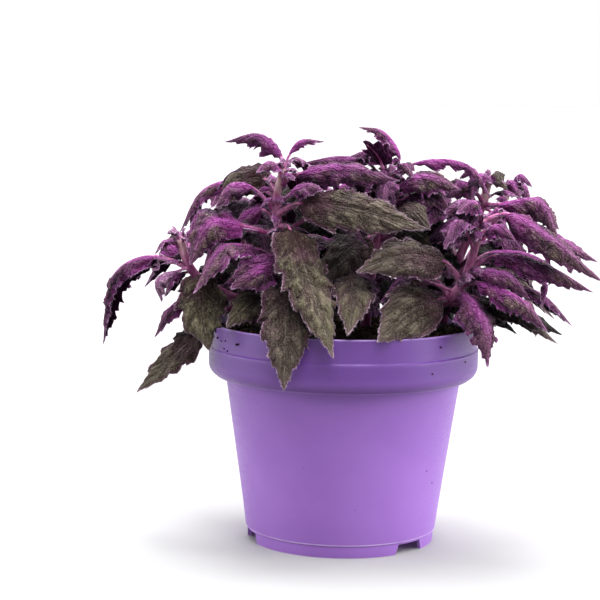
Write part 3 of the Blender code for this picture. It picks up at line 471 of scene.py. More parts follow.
def points_at(curve, distances):
    """The curve's points at those distances along it."""
    return between(distances, lengths_along(curve), curve)


def stem_point(stem, share):
    """The point at a share of the stem's length."""
    curve = smooth_curve(STEMS[stem])
    return points_at(curve, share * lengths_along(curve)[-1])


def leaf_of(stem, share, route, width, **more):
    """A leaf: its stem and place on it, its root, neck, middle and tip, its width, and what else sets it."""
    leaf = {"stem": stem, "share": share, "width": width, "deep": False}
    leaf.update(roll=0, fold=-5, curl=-20, teeth=3, turn=(0, 0))
    leaf.update(zip(("root", "neck", "middle", "tip"), route))
    leaf.update(more)
    return leaf


def teeth_of(neck, middle, tip):
    """How many teeth a blade of that length has on each side."""
    length = np.linalg.norm(np.subtract(middle, neck)) + np.linalg.norm(np.subtract(tip, middle))
    return int(np.clip(round(length / TOOTH_SPACING), *TEETH))


def placed_leaves():
    """The leaves seen from the front, each grown from its stem."""
    for leaves, deep in ((LEAVES, False), (DEEP_LEAVES, True)):
        for stem, share, neck, middle, tip, width, roll, fold, curl, age in leaves:
            name = "shoot_" + stem
            route = stem_point(name, share), neck, middle, tip
            yield leaf_of(name, share, route, width, roll=roll, fold=fold, curl=curl, age=age, deep=deep,
                          teeth=teeth_of(neck, middle, tip), most_turn=PLACED_TURN)


def filling_leaves():
    """The leaves round the other sides, by the golden angle, shorter and higher towards the stem's tip."""
    draw = np.random.default_rng(11)
    for stem, (count, low, high, longest, shortest, first) in FILL.items():
        for k in range(count):
            share = k / (count - 1)
            at = low + (high - low) * share
            root = stem_point(stem, at)
            length = longest + (shortest - longest) * share
            away = heading(first + k * GOLDEN_ANGLE + draw.uniform(-12, 12))
            rise = np.array([0, 0, length])
            droop = draw.uniform(0.30, 0.55) * (1 - share) - 0.1 * share
            neck = root + away * length * 0.30 + rise * (0.10 + 0.22 * share)
            middle = root + away * length * 0.68 + rise * (0.10 + 0.35 * share)
            tip = root + away * length - rise * droop
            yield leaf_of(stem, at, (root, neck, middle, tip), length * FILL_WIDTH, fold=-12, curl=-18,
                          roll=draw.uniform(-15, 15), teeth=teeth_of(neck, middle, tip),
                          most_turn=FREE_TURN, age=0.15 + 0.8 * share)


def crown_leaves(name):
    """The small young leaves that crowd round a stem's tip."""
    draw = np.random.default_rng(len(name) * 7 + 3)
    count, longest, shortest = CROWN
    curve = smooth_curve(STEMS[name])
    ahead = unit(curve[-1] - curve[-8])
    for k in range(count):
        share = k / (count - 1)
        length = longest + (shortest - longest) * share
        root = curve[-1] - ahead * (3.0 * (1 - share))
        away = heading(40 + k * GOLDEN_ANGLE + draw.uniform(-15, 15))
        tilt = 0.35 + 0.55 * share
        neck = root + away * length * 0.22 + ahead * length * 0.22
        middle = root + away * length * (0.62 - 0.3 * share) + ahead * length * tilt
        tip = root + away * length * (0.95 - 0.45 * share) + ahead * length * (tilt - 0.12 + 0.2 * share)
        yield leaf_of(name, 1.0, (root, neck, middle, tip), length * 0.62, roll=draw.uniform(-20, 20), fold=8,
                      curl=-25, age=1.0)


def axil_leaves(leaf, draw):
    """The small curled leaf in a leaf's axil, where it leaves its stem."""
    if leaf["width"] < AXIL_FROM_WIDTH:
        return
    away = unit(np.array(leaf["middle"], float) - leaf["root"])
    length = draw.uniform(*AXIL)
    turn = math.radians(draw.uniform(25, 60) * draw.choice((-1, 1)))
    spin = np.array([away[0] * math.cos(turn) - away[1] * math.sin(turn),
                     away[0] * math.sin(turn) + away[1] * math.cos(turn), 0.0])
    rise = np.array((0, 0, draw.uniform(0.3, 0.9)))
    root = stem_point(leaf["stem"], min(leaf["share"] + 0.02, 0.99))
    neck = root + length * (0.26 * spin + 0.34 * rise)
    middle = root + length * (0.68 * spin + 0.46 * rise)
    tip = root + length * (1.02 * spin + draw.uniform(-0.1, 0.3) * rise)
    yield leaf_of(leaf["stem"], leaf["share"], (root, neck, middle, tip), length * draw.uniform(0.42, 0.58),
                  roll=draw.uniform(-40, 40), fold=draw.uniform(-20, 14), curl=draw.uniform(-35, -15),
                  age=draw.uniform(0.7, 1.0))


def small_leaves(name):
    """The small leaves of SMALL_LEAVES on a stem."""
    for stem, share, neck, middle, tip, width, age in SMALL_LEAVES:
        if "shoot_" + stem == name:
            route = stem_point(name, share), neck, middle, tip
            yield leaf_of(name, share, route, width, age=age, deep=age < 0.5)


def leaf_route(leaf):
    """A leaf's middle line, from its stem to its tip."""
    return smooth_curve([leaf[key] for key in ("root", "neck", "middle", "tip")])


def level_of(leaf):
    """The level direction from a leaf's root to its tip."""
    level = np.array(leaf["tip"], float) - leaf["root"]
    level[2] = 0
    return unit(level)


def leaf_lines(leaf, rows, lean):
    """The middle line's point, and the directions across the leaf and out of it, for each point of a grid.

    rows holds 0 at the stem, 1 at the neck and 2 at the tip; lean moves a point towards the tip.
    """
    route = leaf_route(leaf)
    neck, length = lengths_along(route)[[CURVE_STEPS, -1]]
    distance = np.minimum(rows, 1) * neck + np.clip(rows - 1 + lean, 0, 1) * (length - neck)
    ahead = points_at(route, np.minimum(distance + 0.6, length))
    tangent = unit(ahead - points_at(route, np.maximum(distance - 0.6, 0)))
    side = unit(np.cross(level_of(leaf), (0, 0, 1.0)))
    side = unit(side - (tangent @ side)[..., None] * tangent)
    normal = np.cross(side, tangent)
    roll = np.radians(leaf["roll"]) * np.minimum(rows, 1)[..., None]
    side, normal = side * np.cos(roll) - normal * np.sin(roll), normal * np.cos(roll) + side * np.sin(roll)
    return points_at(route, distance), side, normal


def turned(points, leaf):
    """The points swung about the leaf's root by its yaw and pitch."""
    yaw, pitch = np.radians(leaf["turn"])
    axis = np.cross((0, 0, 1.0), level_of(leaf))
    p = points - leaf["root"]
    c, s = math.cos(pitch), math.sin(pitch)
    p = p * c - np.cross(axis, p) * s + axis * (p @ axis)[..., None] * (1 - c)
    c, s = math.cos(yaw), math.sin(yaw)
    spin = np.array([[c, s, 0], [-s, c, 0], [0, 0, 1]])
    return p @ spin + leaf["root"]


def slope_of(points):
    """The direction out of a grid of points, at each of them."""
    return unit(np.cross(np.gradient(points, axis=1), np.gradient(points, axis=0)))


def grid_quads(n_rows, n_cols):
    """The quads of a grid of points."""
    r, c = np.meshgrid(np.arange(n_rows - 1), np.arange(n_cols - 1), indexing="ij")
    a = r * n_cols + c
    return np.stack([a, a + 1, a + n_cols + 1, a + n_cols], axis=-1).reshape(-1, 4)


def rim_of(n_rows, n_cols):
    """The indices round a grid's edge, each with the next one."""
    last = n_rows * n_cols - n_cols
    rim = list(range(0, last, n_cols)) + list(range(last, last + n_cols))
    rim += list(range(last - 1, 0, -n_cols)) + list(range(n_cols - 2, 0, -1))
    return np.array(rim), np.roll(rim, -1)


def envelope(along):
    """A blade's width from its neck to its tip, before it is cut into teeth."""
    return (1 - (1 - along) ** 7) ** 0.8 * (1 - along ** 2.1) / 0.84


def plain_points(leaf):
    """The frame's leaf as a grid of three columns, with its rows and how far across each point is.

    It has a row at the stem, one at the neck, and one at each tooth's tip and notch.
    """
    rows = [0.0, 1.0]
    for k in range(leaf["teeth"]):
        rows += [1 + (k + TOOTH_AT) / leaf["teeth"], 1 + (k + 1) / leaf["teeth"]]
    rows, across = np.meshgrid(rows, (-1.0, 0.0, 1.0), indexing="ij")
    out, blade = np.abs(across), np.clip(rows - 1, 0, 1)
    at_tooth = (rows > 1) * (((rows - 1) * leaf["teeth"]) % 1.0 > TOOTH_AT - 0.1)
    middle, side, normal = leaf_lines(leaf, rows, TOOTH_LEAN / leaf["teeth"] * at_tooth * out)
    place = (blade * leaf["teeth"]) % 1.0
    tooth = np.where(place < TOOTH_AT, place / TOOTH_AT, (1 - place) / (1 - TOOTH_AT))
    half = 0.5 * leaf["width"] * envelope(blade) * (1 - TOOTH_DEPTH * (1 - tooth))
    half = np.where(rows > 1, np.maximum(half, TIP_HALF), PETIOLE_HALF)
    bend = np.radians(leaf["fold"] + leaf["curl"] * out) * np.clip(rows, 0.3, 1)
    points = middle + (half * across * np.cos(bend))[..., None] * side
    return turned(points + (half * out * np.sin(bend))[..., None] * normal, leaf), rows, out


def plain_leaf(leaf, extra=0.0):
    """The frame's leaf as one closed mesh, with extra thickness if asked."""
    points, rows, out = plain_points(leaf)
    n_rows, n_cols = rows.shape
    count = n_rows * n_cols
    rib = RIB_THICK + (EDGE_THICK - RIB_THICK) * np.maximum(np.clip(rows - 1, 0, 1), out)
    thick = np.where(rows > 1, rib, PETIOLE_THICK) + 2 * extra
    lift = slope_of(points) * (thick / 2)[..., None]
    edges = unit(points[:, -1] - points[:, 0]) * extra
    points[:, 0] -= edges
    points[:, -1] += edges
    a, b, e, d = grid_quads(n_rows, n_cols).T
    left = a % n_cols < n_cols // 2
    top = [np.stack([a, b, np.where(left, e, d)], axis=-1), np.stack([np.where(left, a, b), e, d], axis=-1)]
    rim, after = rim_of(n_rows, n_cols)
    sides = [np.stack([rim, after, after + count], axis=-1),
             np.stack([rim, after + count, rim + count], axis=-1)]
    faces = np.vstack(top + [half[:, ::-1] + count for half in top] + sides)
    return np.vstack([(points + lift).reshape(-1, 3), (points - lift).reshape(-1, 3)]), faces.tolist()


def circle(count):
    """That many angles, evenly round."""
    return np.linspace(0, math.tau, count, endpoint=False)


def rings(side, other, angles):
    """A circle of directions for each pair of directions."""
    return np.cos(angles)[None, :, None] * side[:, None] + np.sin(angles)[None, :, None] * other[:, None]


def tube_quads(rows, sides):
    """The quads of a tube whose rows of points go round."""
    r, k = np.meshgrid(np.arange(rows - 1), np.arange(sides), indexing="ij")
    a, b = r * sides + k, r * sides + (k + 1) % sides
    return np.stack([a, b, b + sides, a + sides], axis=-1).reshape(-1, 4)


def tube_ends(rows, sides):
    """The triangles that close such a tube, to one point more at each end."""
    k = np.arange(sides)
    after = (k + 1) % sides
    first = np.stack([after, k, np.full(sides, rows * sides)], axis=-1)
    return np.vstack([first, np.stack([k, after, np.full(sides, sides + 1)], axis=-1) + (rows - 1) * sides])


def tube_mesh(points, radius, sides=8):
    """An open tube round a line, for testing what comes near it."""
    tangent = unit(np.gradient(points, axis=0))
    side = unit(np.cross(tangent, (0, 1.0, 0)))
    verts = points[:, None] + radius * rings(side, np.cross(tangent, side), circle(sides))
    return verts.reshape(-1, 3), tube_quads(len(points), sides).tolist()


def turned_mesh(profile, steps=36):
    """A profile turned about the pot's axis, for testing what comes near it."""
    verts = [(r * math.cos(a), r * math.sin(a), z) for r, z in profile for a in circle(steps)]
    return np.array(verts), tube_quads(len(profile), steps).tolist()


def bvh(mesh):
    """A search tree of a mesh's faces."""
    return BVHTree.FromPolygons([tuple(v) for v in mesh[0]], mesh[1])


def joined(meshes):
    """Several meshes as one."""
    points, faces = [], []
    for some_points, some_faces in meshes:
        faces += [[len(points) + i for i in face] for face in some_faces]
        points += some_points.tolist()
    return points, faces


def in_reach(points):
    """Whether a filling leaf stays in the dome of FILL_REACH, and hangs past the rim only at the back."""
    x, y, z = np.abs(points[:, 0]), points[:, 1], points[:, 2] - RIM_TOP
    dome = (x / FILL_REACH[0]) ** 2 + (np.maximum(z, 0) / FILL_REACH[2]) ** 2
    low_at_side = (z < 0) & (x > RIM_R)
    return dome.max() < 1 and y.max() < FILL_REACH[1] and not low_at_side.any()


def crossings(leaf, obstacles, done):
    """How often a leaf crosses others of its stem, or None where it meets an obstacle or another stem's."""
    points, faces = plain_leaf(leaf, CLEARANCE)
    if leaf["most_turn"] > PLACED_TURN and not in_reach(points):
        return None
    tree, low, high = bvh((points, faces)), points.min(axis=0), points.max(axis=0)
    near = [other for other in done if np.all(other["low"] < high) and np.all(other["high"] > low)]
    foreign = [other for name, other in obstacles.items() if name != leaf["stem"]]
    foreign += [other["tree"] for other in near if other["stem"] != leaf["stem"]]
    if any(tree.overlap(other) for other in foreign):
        return None
    count = len(points) // 2
    outer = bvh((points, [face for face in faces if min(face) % count > count * FUSED_SHARE]))
    return sum(len(outer.overlap(other["tree"])) for other in near if other["stem"] == leaf["stem"])


def clear_leaves():
    """Each leaf bent clear of the pot, the soil and the other stems' leaves, as in the frame."""
    soil = (0.1, SOIL_TOP + 1.5), (RIM_R - 2, SOIL_TOP + 1.5)
    obstacles = {"pot": bvh(turned_mesh(POT_INSIDE + POT_OUTSIDE)), "soil": bvh(turned_mesh(soil))}
    for stem, route in STEMS.items():
        obstacles[stem] = bvh(tube_mesh(smooth_curve(route)[::6], STEM_FOOT_R + CLEARANCE))
    turns = sorted(((y, p) for y in YAWS for p in PITCHES), key=lambda t: (abs(t[0]) + abs(t[1]), t))
    done = []
    for leaf in [*placed_leaves(), *filling_leaves()]:
        best = None
        for turn in turns:
            if max(map(abs, turn)) > leaf["most_turn"]:
                continue
            leaf["turn"] = turn
            crossed = crossings(leaf, obstacles, done)
            if crossed is not None and (best is None or crossed < best[0]):
                best = (crossed, turn)
            if crossed == 0:
                break
        if best:
            leaf["turn"] = best[1]
            mesh = plain_leaf(leaf)
            leaf.update(tree=bvh(mesh), low=mesh[0].min(axis=0), high=mesh[0].max(axis=0))
            done.append(leaf)
    return done


class Shape:
    """A mesh gathered from closed parts: points, quads and triangles, with a value for each point."""

    def __init__(self, *values):
        self.points, self.quads, self.tris = [], [], []
        self.quad_slots, self.tri_slots = [], []
        self.values = {name: [] for name in values}
        self.count = 0

    def add(self, points, quads=(), tris=(), slot=0, **values):
        """Adds a part."""
        points = np.asarray(points, float).reshape(-1, 3)
        self.points.append(points)
        quads = np.asarray(quads, int).reshape(-1, 4)
        tris = np.asarray(tris, int).reshape(-1, 3)
        self.quads.append(quads + self.count)
        self.tris.append(tris + self.count)
        self.quad_slots.append(np.broadcast_to(slot, len(quads)))
        self.tri_slots.append(np.full(len(tris), np.max(slot)))
        for name, stored in self.values.items():
            stored.append(np.broadcast_to(np.asarray(values.get(name, 0.0), float).ravel(), len(points)))
        self.count += len(points)

    def make(self, name, *materials, sharp=None):
        """The object of it."""
        points = np.vstack(self.points) * MM
        quads, tris = np.vstack(self.quads), np.vstack(self.tris)
        corners = np.concatenate([quads.ravel(), tris.ravel()])
        starts = np.concatenate([np.arange(len(quads)) * 4, len(quads) * 4 + np.arange(len(tris)) * 3])
        mesh = bpy.data.meshes.new(name)
        mesh.vertices.add(len(points))
        mesh.vertices.foreach_set("co", points.astype(np.float32).ravel())
        mesh.loops.add(len(corners))
        mesh.loops.foreach_set("vertex_index", corners.astype(np.int32))
        mesh.polygons.add(len(starts))
        mesh.polygons.foreach_set("loop_start", starts.astype(np.int32))
        slots = np.concatenate(self.quad_slots + self.tri_slots)
        mesh.polygons.foreach_set("material_index", slots.astype(np.int32))
        mesh.update(calc_edges=True)
        for key, stored in self.values.items():
            data = mesh.attributes.new(key, "FLOAT", "POINT").data
            data.foreach_set("value", np.concatenate(stored).astype(np.float32))
        mesh.shade_smooth()
        if sharp:
            mesh.set_sharp_from_angle(angle=math.radians(sharp))
        for material in materials:
            mesh.materials.append(material)
        made = bpy.data.objects.new(name, mesh)
        bpy.context.scene.collection.objects.link(made)
        return made


def saw(place):
    """A tooth's height from 0 to 1: it rises to its tip, then drops back."""
    place = place % 1.0
    return np.where(place < TOOTH_AT, (place / TOOTH_AT) ** 1.35, ((1 - place) / (1 - TOOTH_AT)) ** 0.8)


def waves(points, size, draw, count=5):
    """A soft random height, about -1 to 1, with bumps of that size."""
    total = np.zeros(points.shape[:-1])
    for _ in range(count):
        direction = unit(draw.normal(size=3)) / size * draw.uniform(0.7, 1.4) * math.pi
        total += np.sin(points @ direction + draw.uniform(0, math.tau))
    return total / math.sqrt(count)


def ridged(phase):
    """A crease's height from 0 to 1: narrow ridges between broad hollows."""
    return (1 - np.abs(np.sin(phase))) ** 1.5


def fine_outline(leaf, neck_at, length, draw):
    """A fine leaf's grid, and its uneven outline of lobes with small teeth on them."""
    width, age = leaf["width"], leaf["age"]
    lobes = leaf["teeth"] + (1 if length / leaf["teeth"] > LONG_LOBE else 0)
    teeth = max(4, round(length / (OLD_TOOTH + (YOUNG_TOOTH - OLD_TOOTH) * age)))
    n_blade = teeth * len(TOOTH_FORM)
    n_wing = int(np.clip((1 - BLADE_START) * neck_at / WING_ROW, *WING_ROWS))
    t = np.linspace(-1, 1, 2 * int(np.clip(width / CELL / 2, *HALF_COLUMNS)) + 1)
    index = np.concatenate([np.zeros(n_wing), np.arange(n_blade + 1)])
    index, across = np.meshgrid(index, np.sign(t) * np.abs(t) ** 0.9, indexing="ij")
    out, right = np.abs(across), across > 0
    shifts = draw.uniform(0, math.tau, 2)
    shift = np.where(right, *shifts)
    # Each row of points swings forwards or back towards its ends, so that the teeth are unevenly spaced
    s = index / n_blade
    s = s + TOOTH_SWING * np.sin(math.pi * s) * np.sin(math.tau * 1.3 * s + shift) * out
    rows = 1 + s
    rows[:n_wing] = np.linspace(BLADE_START, 1, n_wing, endpoint=False)[:, None]
    offset = np.where(right, 0.0, draw.uniform(-LOBE_OFFSET, LOBE_OFFSET))
    place = s * lobes + LOBE_SWAY * np.sin(math.tau * s * 1.4 + shift) * out + offset * np.sin(math.pi * s)
    lobe = saw(place)
    small = np.array(TOOTH_FORM)[index.astype(int) % len(TOOTH_FORM)]
    fade = np.clip((1 - s) / 0.5, 0.30, 1) * np.clip((1 - s) / 0.10, 0, 1)
    depth = (TOOTH_DEPTH - 0.04 - 0.06 * age) * np.where(right, *draw.uniform(*LOBE_DEPTHS, 2)) * fade
    depth = depth * (1 + 0.35 * np.sin(place * 2.3 + shift))
    full = 0.5 * width * envelope(s) * (DEEP_BREADTH if leaf["deep"] else BREADTH)
    full = full * (1 - 0.30 * np.clip((s - 0.68) / 0.32, 0, 1)) * (1 - depth * (1 - lobe))
    nick = (0.75 + 1.25 * age) * (0.60 + 0.40 * np.sin(index * 0.37 + shift)) * np.clip(full / 4, 0, 1)
    nick = np.minimum(nick * np.clip((1 - s) / 0.06, 0, 1), 0.5 * full)
    wing = (0.75 + 0.55 * np.clip((rows - BLADE_START) / (1 - BLADE_START), 0, 1)) * min(1.0, width / 14)
    half = np.maximum(np.where(s > 0, full - nick * (1 - small), 0), wing * (1 - 0.92 * s ** 0.6))
    # Lobes and teeth lean towards the tip, and the base has two round ears that lean back
    lean = (LOBE_LEAN / lobes) * lobe * fade * out ** 1.5 + (1.0 / length) * small * out ** 4
    lean = lean * np.sin(math.pi * np.clip(s * 1.02, 0, 1)) ** 0.3 * (s > 0)
    ear = EAR * np.clip((width - 9) / 12, 0, 1) * np.exp(-(s / 0.10) ** 2) * (rows >= 1)
    lean -= ear * (out ** 1.6 + 0.6 * out ** 2) * (s > 0)
    return SimpleNamespace(rows=rows, across=across, out=out, s=s, place=place, lean=lean, full=full,
                           half=half, shift=shift, first_shift=shifts[0])


def fine_points(leaf, g):
    """The points of a fine leaf's grid: the frame's leaf, with a round bend across it in place of a fold."""
    middle, side, normal = leaf_lines(leaf, g.rows, g.lean)
    bend = np.radians(leaf["fold"] + leaf["curl"]) * np.clip(g.rows, 0.3, 1)
    bend = np.where(np.abs(bend) < 0.02, 0.02, bend)
    arc = g.half / (2 * np.sin(bend))
    points = middle + (arc * np.sin(2 * bend * g.across))[..., None] * side
    return turned(points + (arc * (1 - np.cos(2 * bend * g.across)))[..., None] * normal, leaf)


def fine_relief(points, g, age, draw):
    """A fine leaf's heights: quilted between its veins, wrinkled, with a rib, and frilled at its margins."""
    inside = np.sin(math.pi * np.clip(g.out, 0.04, 0.98)) ** 0.6
    phase = g.place + SLANT * (1 - g.out ** 1.2) - TOOTH_AT
    dome = (1 - (np.abs((phase % 1.0) - 0.5) * 2) ** 1.6) * inside
    bend = 0.8 * waves(points, 9.0, draw)
    oblique = ridged(math.pi * 2.5 * phase + 1.1 * bend + g.shift) * inside
    lengthwise = ridged(g.half * g.across / WRINKLE + 0.8 * bend + g.first_shift) * np.clip(g.s, 0, 1) ** 0.5
    ripple = 0.50 * np.sin(math.tau * (g.place + 0.15) + g.shift)
    for height, often, later in RIPPLES:
        ripple += height * np.sin(math.tau * g.place * often + later * g.shift)
    frill = (0.8 + 1.6 * age) * (1 + np.exp(-(g.s / 0.22) ** 2)) * ripple * g.out ** 3
    relief = (0.9 - 0.3 * age) * (dome - 0.5) + 0.62 * (oblique - 0.3) + 0.80 * (lengthwise - 0.3)
    relief += 0.34 * waves(points, 5.5, draw) + 0.22 * waves(points, 2.4, draw, 7)
    rib = np.exp(-(g.half * g.across / 1.1) ** 2)
    return relief * (1 - rib) + (1.6 * age - 0.75) * rib, frill, phase


def fine_leaf(leaf, draw):
    """A leaf's fine surface. Returns a dict of its grids."""
    along_route = lengths_along(leaf_route(leaf))
    neck_at = along_route[CURVE_STEPS]
    g = fine_outline(leaf, neck_at, along_route[-1] - neck_at, draw)
    points = fine_points(leaf, g)
    relief, frill, phase = fine_relief(points, g, leaf["age"], draw)
    size = np.clip(g.full / 6.0, 0, 1.2) * np.clip((1 - g.s) * 5, 0, 1)
    lift = size * (relief + frill) + 0.4 * g.out * (g.rows < 1)
    points = points + slope_of(points) * lift[..., None]
    thick = BLADE_THICK * (1 - 0.45 * g.out ** 2) * np.clip(0.35 + 3 * (1 - g.s), 0.35, 1)
    return {"points": points, "normal": slope_of(points), "thick": thick, "age": leaf["age"], "along": g.s,
            "rib": g.half * g.across, "edge": g.half * (1 - g.out), "phase": phase, "shape": g.s.shape,
            "leaf": leaf, "raised": relief * size}


def all_round(count):
    """That many directions, evenly all round."""
    k = np.arange(count) + 0.5
    z = 1 - 2 * k / count
    turn = np.radians(GOLDEN_ANGLE) * k
    level = np.sqrt(1 - z * z)
    return np.stack([level * np.cos(turn), level * np.sin(turn), z], axis=-1)


def depth_at(points, normals, cover):
    """How deep among the leaves points lie: the covered share of what each faces, most of all above. It sets
    the painted shade there.
    """
    directions = all_round(DEPTH_LOOKS)
    depths = []
    for point, normal in zip(points, normals):
        facing = directions @ normal
        weights = np.where(facing > 0.1, facing, 0) * (0.65 + 0.35 * directions[:, 2])
        start = point + normal * DEPTH_START
        covered = 0.0
        for direction, weight in zip(directions, weights):
            if weight > 0 and cover.ray_cast(start, direction, DEPTH_REACH)[0] is not None:
                covered += weight
        depths.append(covered / weights.sum())
    return np.array(depths)


def leaf_depths(fine, cover):
    """The depth of a leaf's two faces, over its grid, which sets their painted shade."""
    n_rows, n_cols = fine["shape"]
    rows = np.linspace(0, n_rows - 1, DEPTH_ROWS).round().astype(int)
    cols = (np.array(DEPTH_COLUMNS) * (n_cols - 1)).round().astype(int)
    points, normals = (fine[key][np.ix_(rows, cols)].reshape(-1, 3) for key in ("points", "normal"))
    for face, side in (("depth", 1), ("depth_below", -1)):
        coarse = depth_at(points, normals * side, cover).reshape(len(rows), len(cols))
        over_rows = between(np.arange(n_rows), rows, coarse)
        fine[face] = between(np.arange(n_cols), cols, over_rows.T).T


def add_leaf(shape, fine):
    """The blade of a leaf as one closed skin, with a finish above and another below."""
    lift = fine["normal"] * (fine["thick"] / 2)[..., None]
    points = np.stack([fine["points"] + lift, fine["points"] - lift])
    n_rows, n_cols = fine["shape"]
    count = n_rows * n_cols
    quads = grid_quads(n_rows, n_cols)
    rim, after = rim_of(n_rows, n_cols)
    sides = np.stack([after, rim, rim + count, after + count], axis=-1)
    values = {key: np.stack([fine[key]] * 2) for key in ("along", "rib", "edge", "phase")}
    values.update(age=fine["age"], tone=fine["tone"], raised=np.stack([fine["raised"], -fine["raised"]]),
                  depth=np.stack([fine["depth"], fine["depth_below"]]))
    face = YOUNG_FACE if fine["age"] > YOUNG_FROM else OLD_FACE
    slots = np.repeat([face, UNDER_FACE, face], [len(quads), len(quads), len(sides)])
    shape.add(points, np.vstack([quads, quads[:, ::-1] + count, sides]), slot=slots, **values)


def ring_frames(points):
    """The tangent and two side directions at each point of a line, without twist between them."""
    tangent = unit(np.gradient(points, axis=0))
    side = np.empty_like(points)
    side[0] = unit(np.cross(tangent[0], (0.31, 1.0, 0.17)))
    for k in range(1, len(points)):
        side[k] = unit(side[k - 1] - tangent[k] * (side[k - 1] @ tangent[k]))
    return tangent, side, np.cross(tangent, side)


def add_tube(shape, points, radii, sides, ribs=1.0, **values):
    """A closed tube round a line; ribs holds how much each of its sides stands out."""
    ring = rings(*ring_frames(points)[1:], circle(sides))
    verts = points[:, None] + radii[:, None, None] * np.broadcast_to(ribs, sides)[:, None] * ring
    for key, value in values.items():
        if np.ndim(value):
            values[key] = np.concatenate([np.repeat(value, sides), value[:1], value[-1:]])
    shape.add(np.vstack([verts.reshape(-1, 3), points[:1], points[-1:]]), tube_quads(len(points), sides),
              tube_ends(len(points), sides), slot=STALK, **values)


def add_petiole(shape, fine):
    """The leaf's stalk and the rib under its blade, as one tapering tube."""
    leaf = fine["leaf"]
    route = turned(leaf_route(leaf), leaf)
    neck_at, whole = lengths_along(route)[[CURVE_STEPS, -1]]
    rib_end = neck_at + 0.86 * (whole - neck_at)
    distance = np.linspace(0, rib_end, int(np.clip(rib_end / STALK_STEP, 8, 44)))
    blade = np.clip((distance - neck_at) / (whole - neck_at), 0, 1)
    plump = np.clip(leaf["width"] / 20, 0.55, 1.1)
    radius = np.where(distance < neck_at, 1.25 - 0.3 * distance / neck_at, 0.95 - 1.0 * blade ** 0.8) * plump
    radius = np.maximum(radius, 0.16)
    radius[:2] *= 1.15
    column = fine["shape"][1] // 2
    centre = fine["points"][:, column]
    start = BLADE_START * neck_at
    place = np.clip((distance - start) / (whole - start), 0, 1)
    grid_at = lengths_along(centre)
    grid_at = grid_at / grid_at[-1]
    up, on = (between(place, grid_at, line) for line in (fine["normal"][:, column], centre))
    depth = np.interp(place, grid_at, fine["depth"][:, column])
    # From its start on, the tube lies sunk in the blade's underside
    share = np.clip((distance - start) / (0.3 * neck_at), 0, 1)[:, None]
    sunk = 0.55 + 0.45 * np.clip(blade * 12, 0, 1)
    points = points_at(route, distance) * (1 - share) + (on - up * (radius * sunk)[:, None]) * share
    add_tube(shape, points, radius, STALK_SIDES, rise=leaf["share"] * (0.8 - 0.2 * blade), depth=depth)
    return points, radius, depth


def add_stem(shape, name, cover, draw):
    """A stem, slightly ribbed and swollen where its leaves leave it."""
    curve = smooth_curve(STEMS[name])
    whole = lengths_along(curve)[-1]
    count = int(whole / STEM_STEP)
    points = points_at(curve, np.linspace(0, whole + 1.5, count))
    share = np.linspace(0, 1, count)
    radius = STEM_FOOT_R + (STEM_TIP_R - STEM_FOOT_R) * share
    radius = radius * (1 + 0.05 * np.sin(share * 40 + draw.uniform(0, 6)))
    radius[-3:] *= (0.9, 0.7, 0.35)
    some = points[::DEPTH_STEP]
    depth = depth_at(some, np.tile((0.0, 0.0, 1.0), (len(some), 1)), cover)
    depth = np.interp(np.arange(count), np.arange(count)[::DEPTH_STEP], depth)
    ribs = 1 + 0.05 * np.cos(circle(STEM_SIDES) * STEM_SIDES / 2)
    add_tube(shape, points, radius, STEM_SIDES, ribs, rise=share, depth=depth)
    return points, radius, depth


class Hairs:
    """Fine hairs, each a slim closed spike."""

    def __init__(self):
        self.parts = []

    def add(self, base, direction, length, thick, age, tone, depth):
        """Adds hairs at those places; the values after their directions may be one for them all."""
        values = [np.broadcast_to(value, len(base)) for value in (length, thick, age, tone, depth)]
        self.parts.append([base, direction, *values])

    def make(self, name, material):
        """The object of them all."""
        base, direction, length, thick, age, tone, depth = map(np.concatenate, zip(*self.parts))
        direction = unit(direction)
        side = unit(np.cross(direction, (0.36, 0.48, 0.8)))
        ring = rings(side, np.cross(direction, side), circle(3))
        foot = base[:, None] - direction[:, None] * HAIR_SUNK + ring * (thick / 2)[:, None, None]
        tip = (base + direction * length[:, None])[:, None]
        start = np.arange(len(base))[:, None, None] * 4
        tris = np.array(((0, 2, 1), (0, 1, 3), (1, 2, 3), (2, 0, 3)))[None] + start
        shape = Shape("age", "tone", "tip", "depth")
        points = np.concatenate([foot, tip], axis=1)
        age, tone, depth = (np.repeat(value, 4) for value in (age, tone, depth))
        at_tip = np.tile((0.0, 0.0, 0.0, 1.0), len(base))
        shape.add(points, tris=tris, age=age, tone=tone, tip=at_tip, depth=depth)
        return shape.make(name, material)


def sample_grid(grid, rows, cols):
    """The grid's values at fractional rows and columns."""
    r = np.minimum(np.floor(rows).astype(int), grid.shape[0] - 2)
    c = np.minimum(np.floor(cols).astype(int), grid.shape[1] - 2)
    fr, fc = rows - r, cols - c
    if grid.ndim == 3:
        fr, fc = fr[:, None], fc[:, None]
    low = grid[r, c] * (1 - fc) + grid[r, c + 1] * fc
    high = grid[r + 1, c] * (1 - fc) + grid[r + 1, c + 1] * fc
    return low * (1 - fr) + high * fr


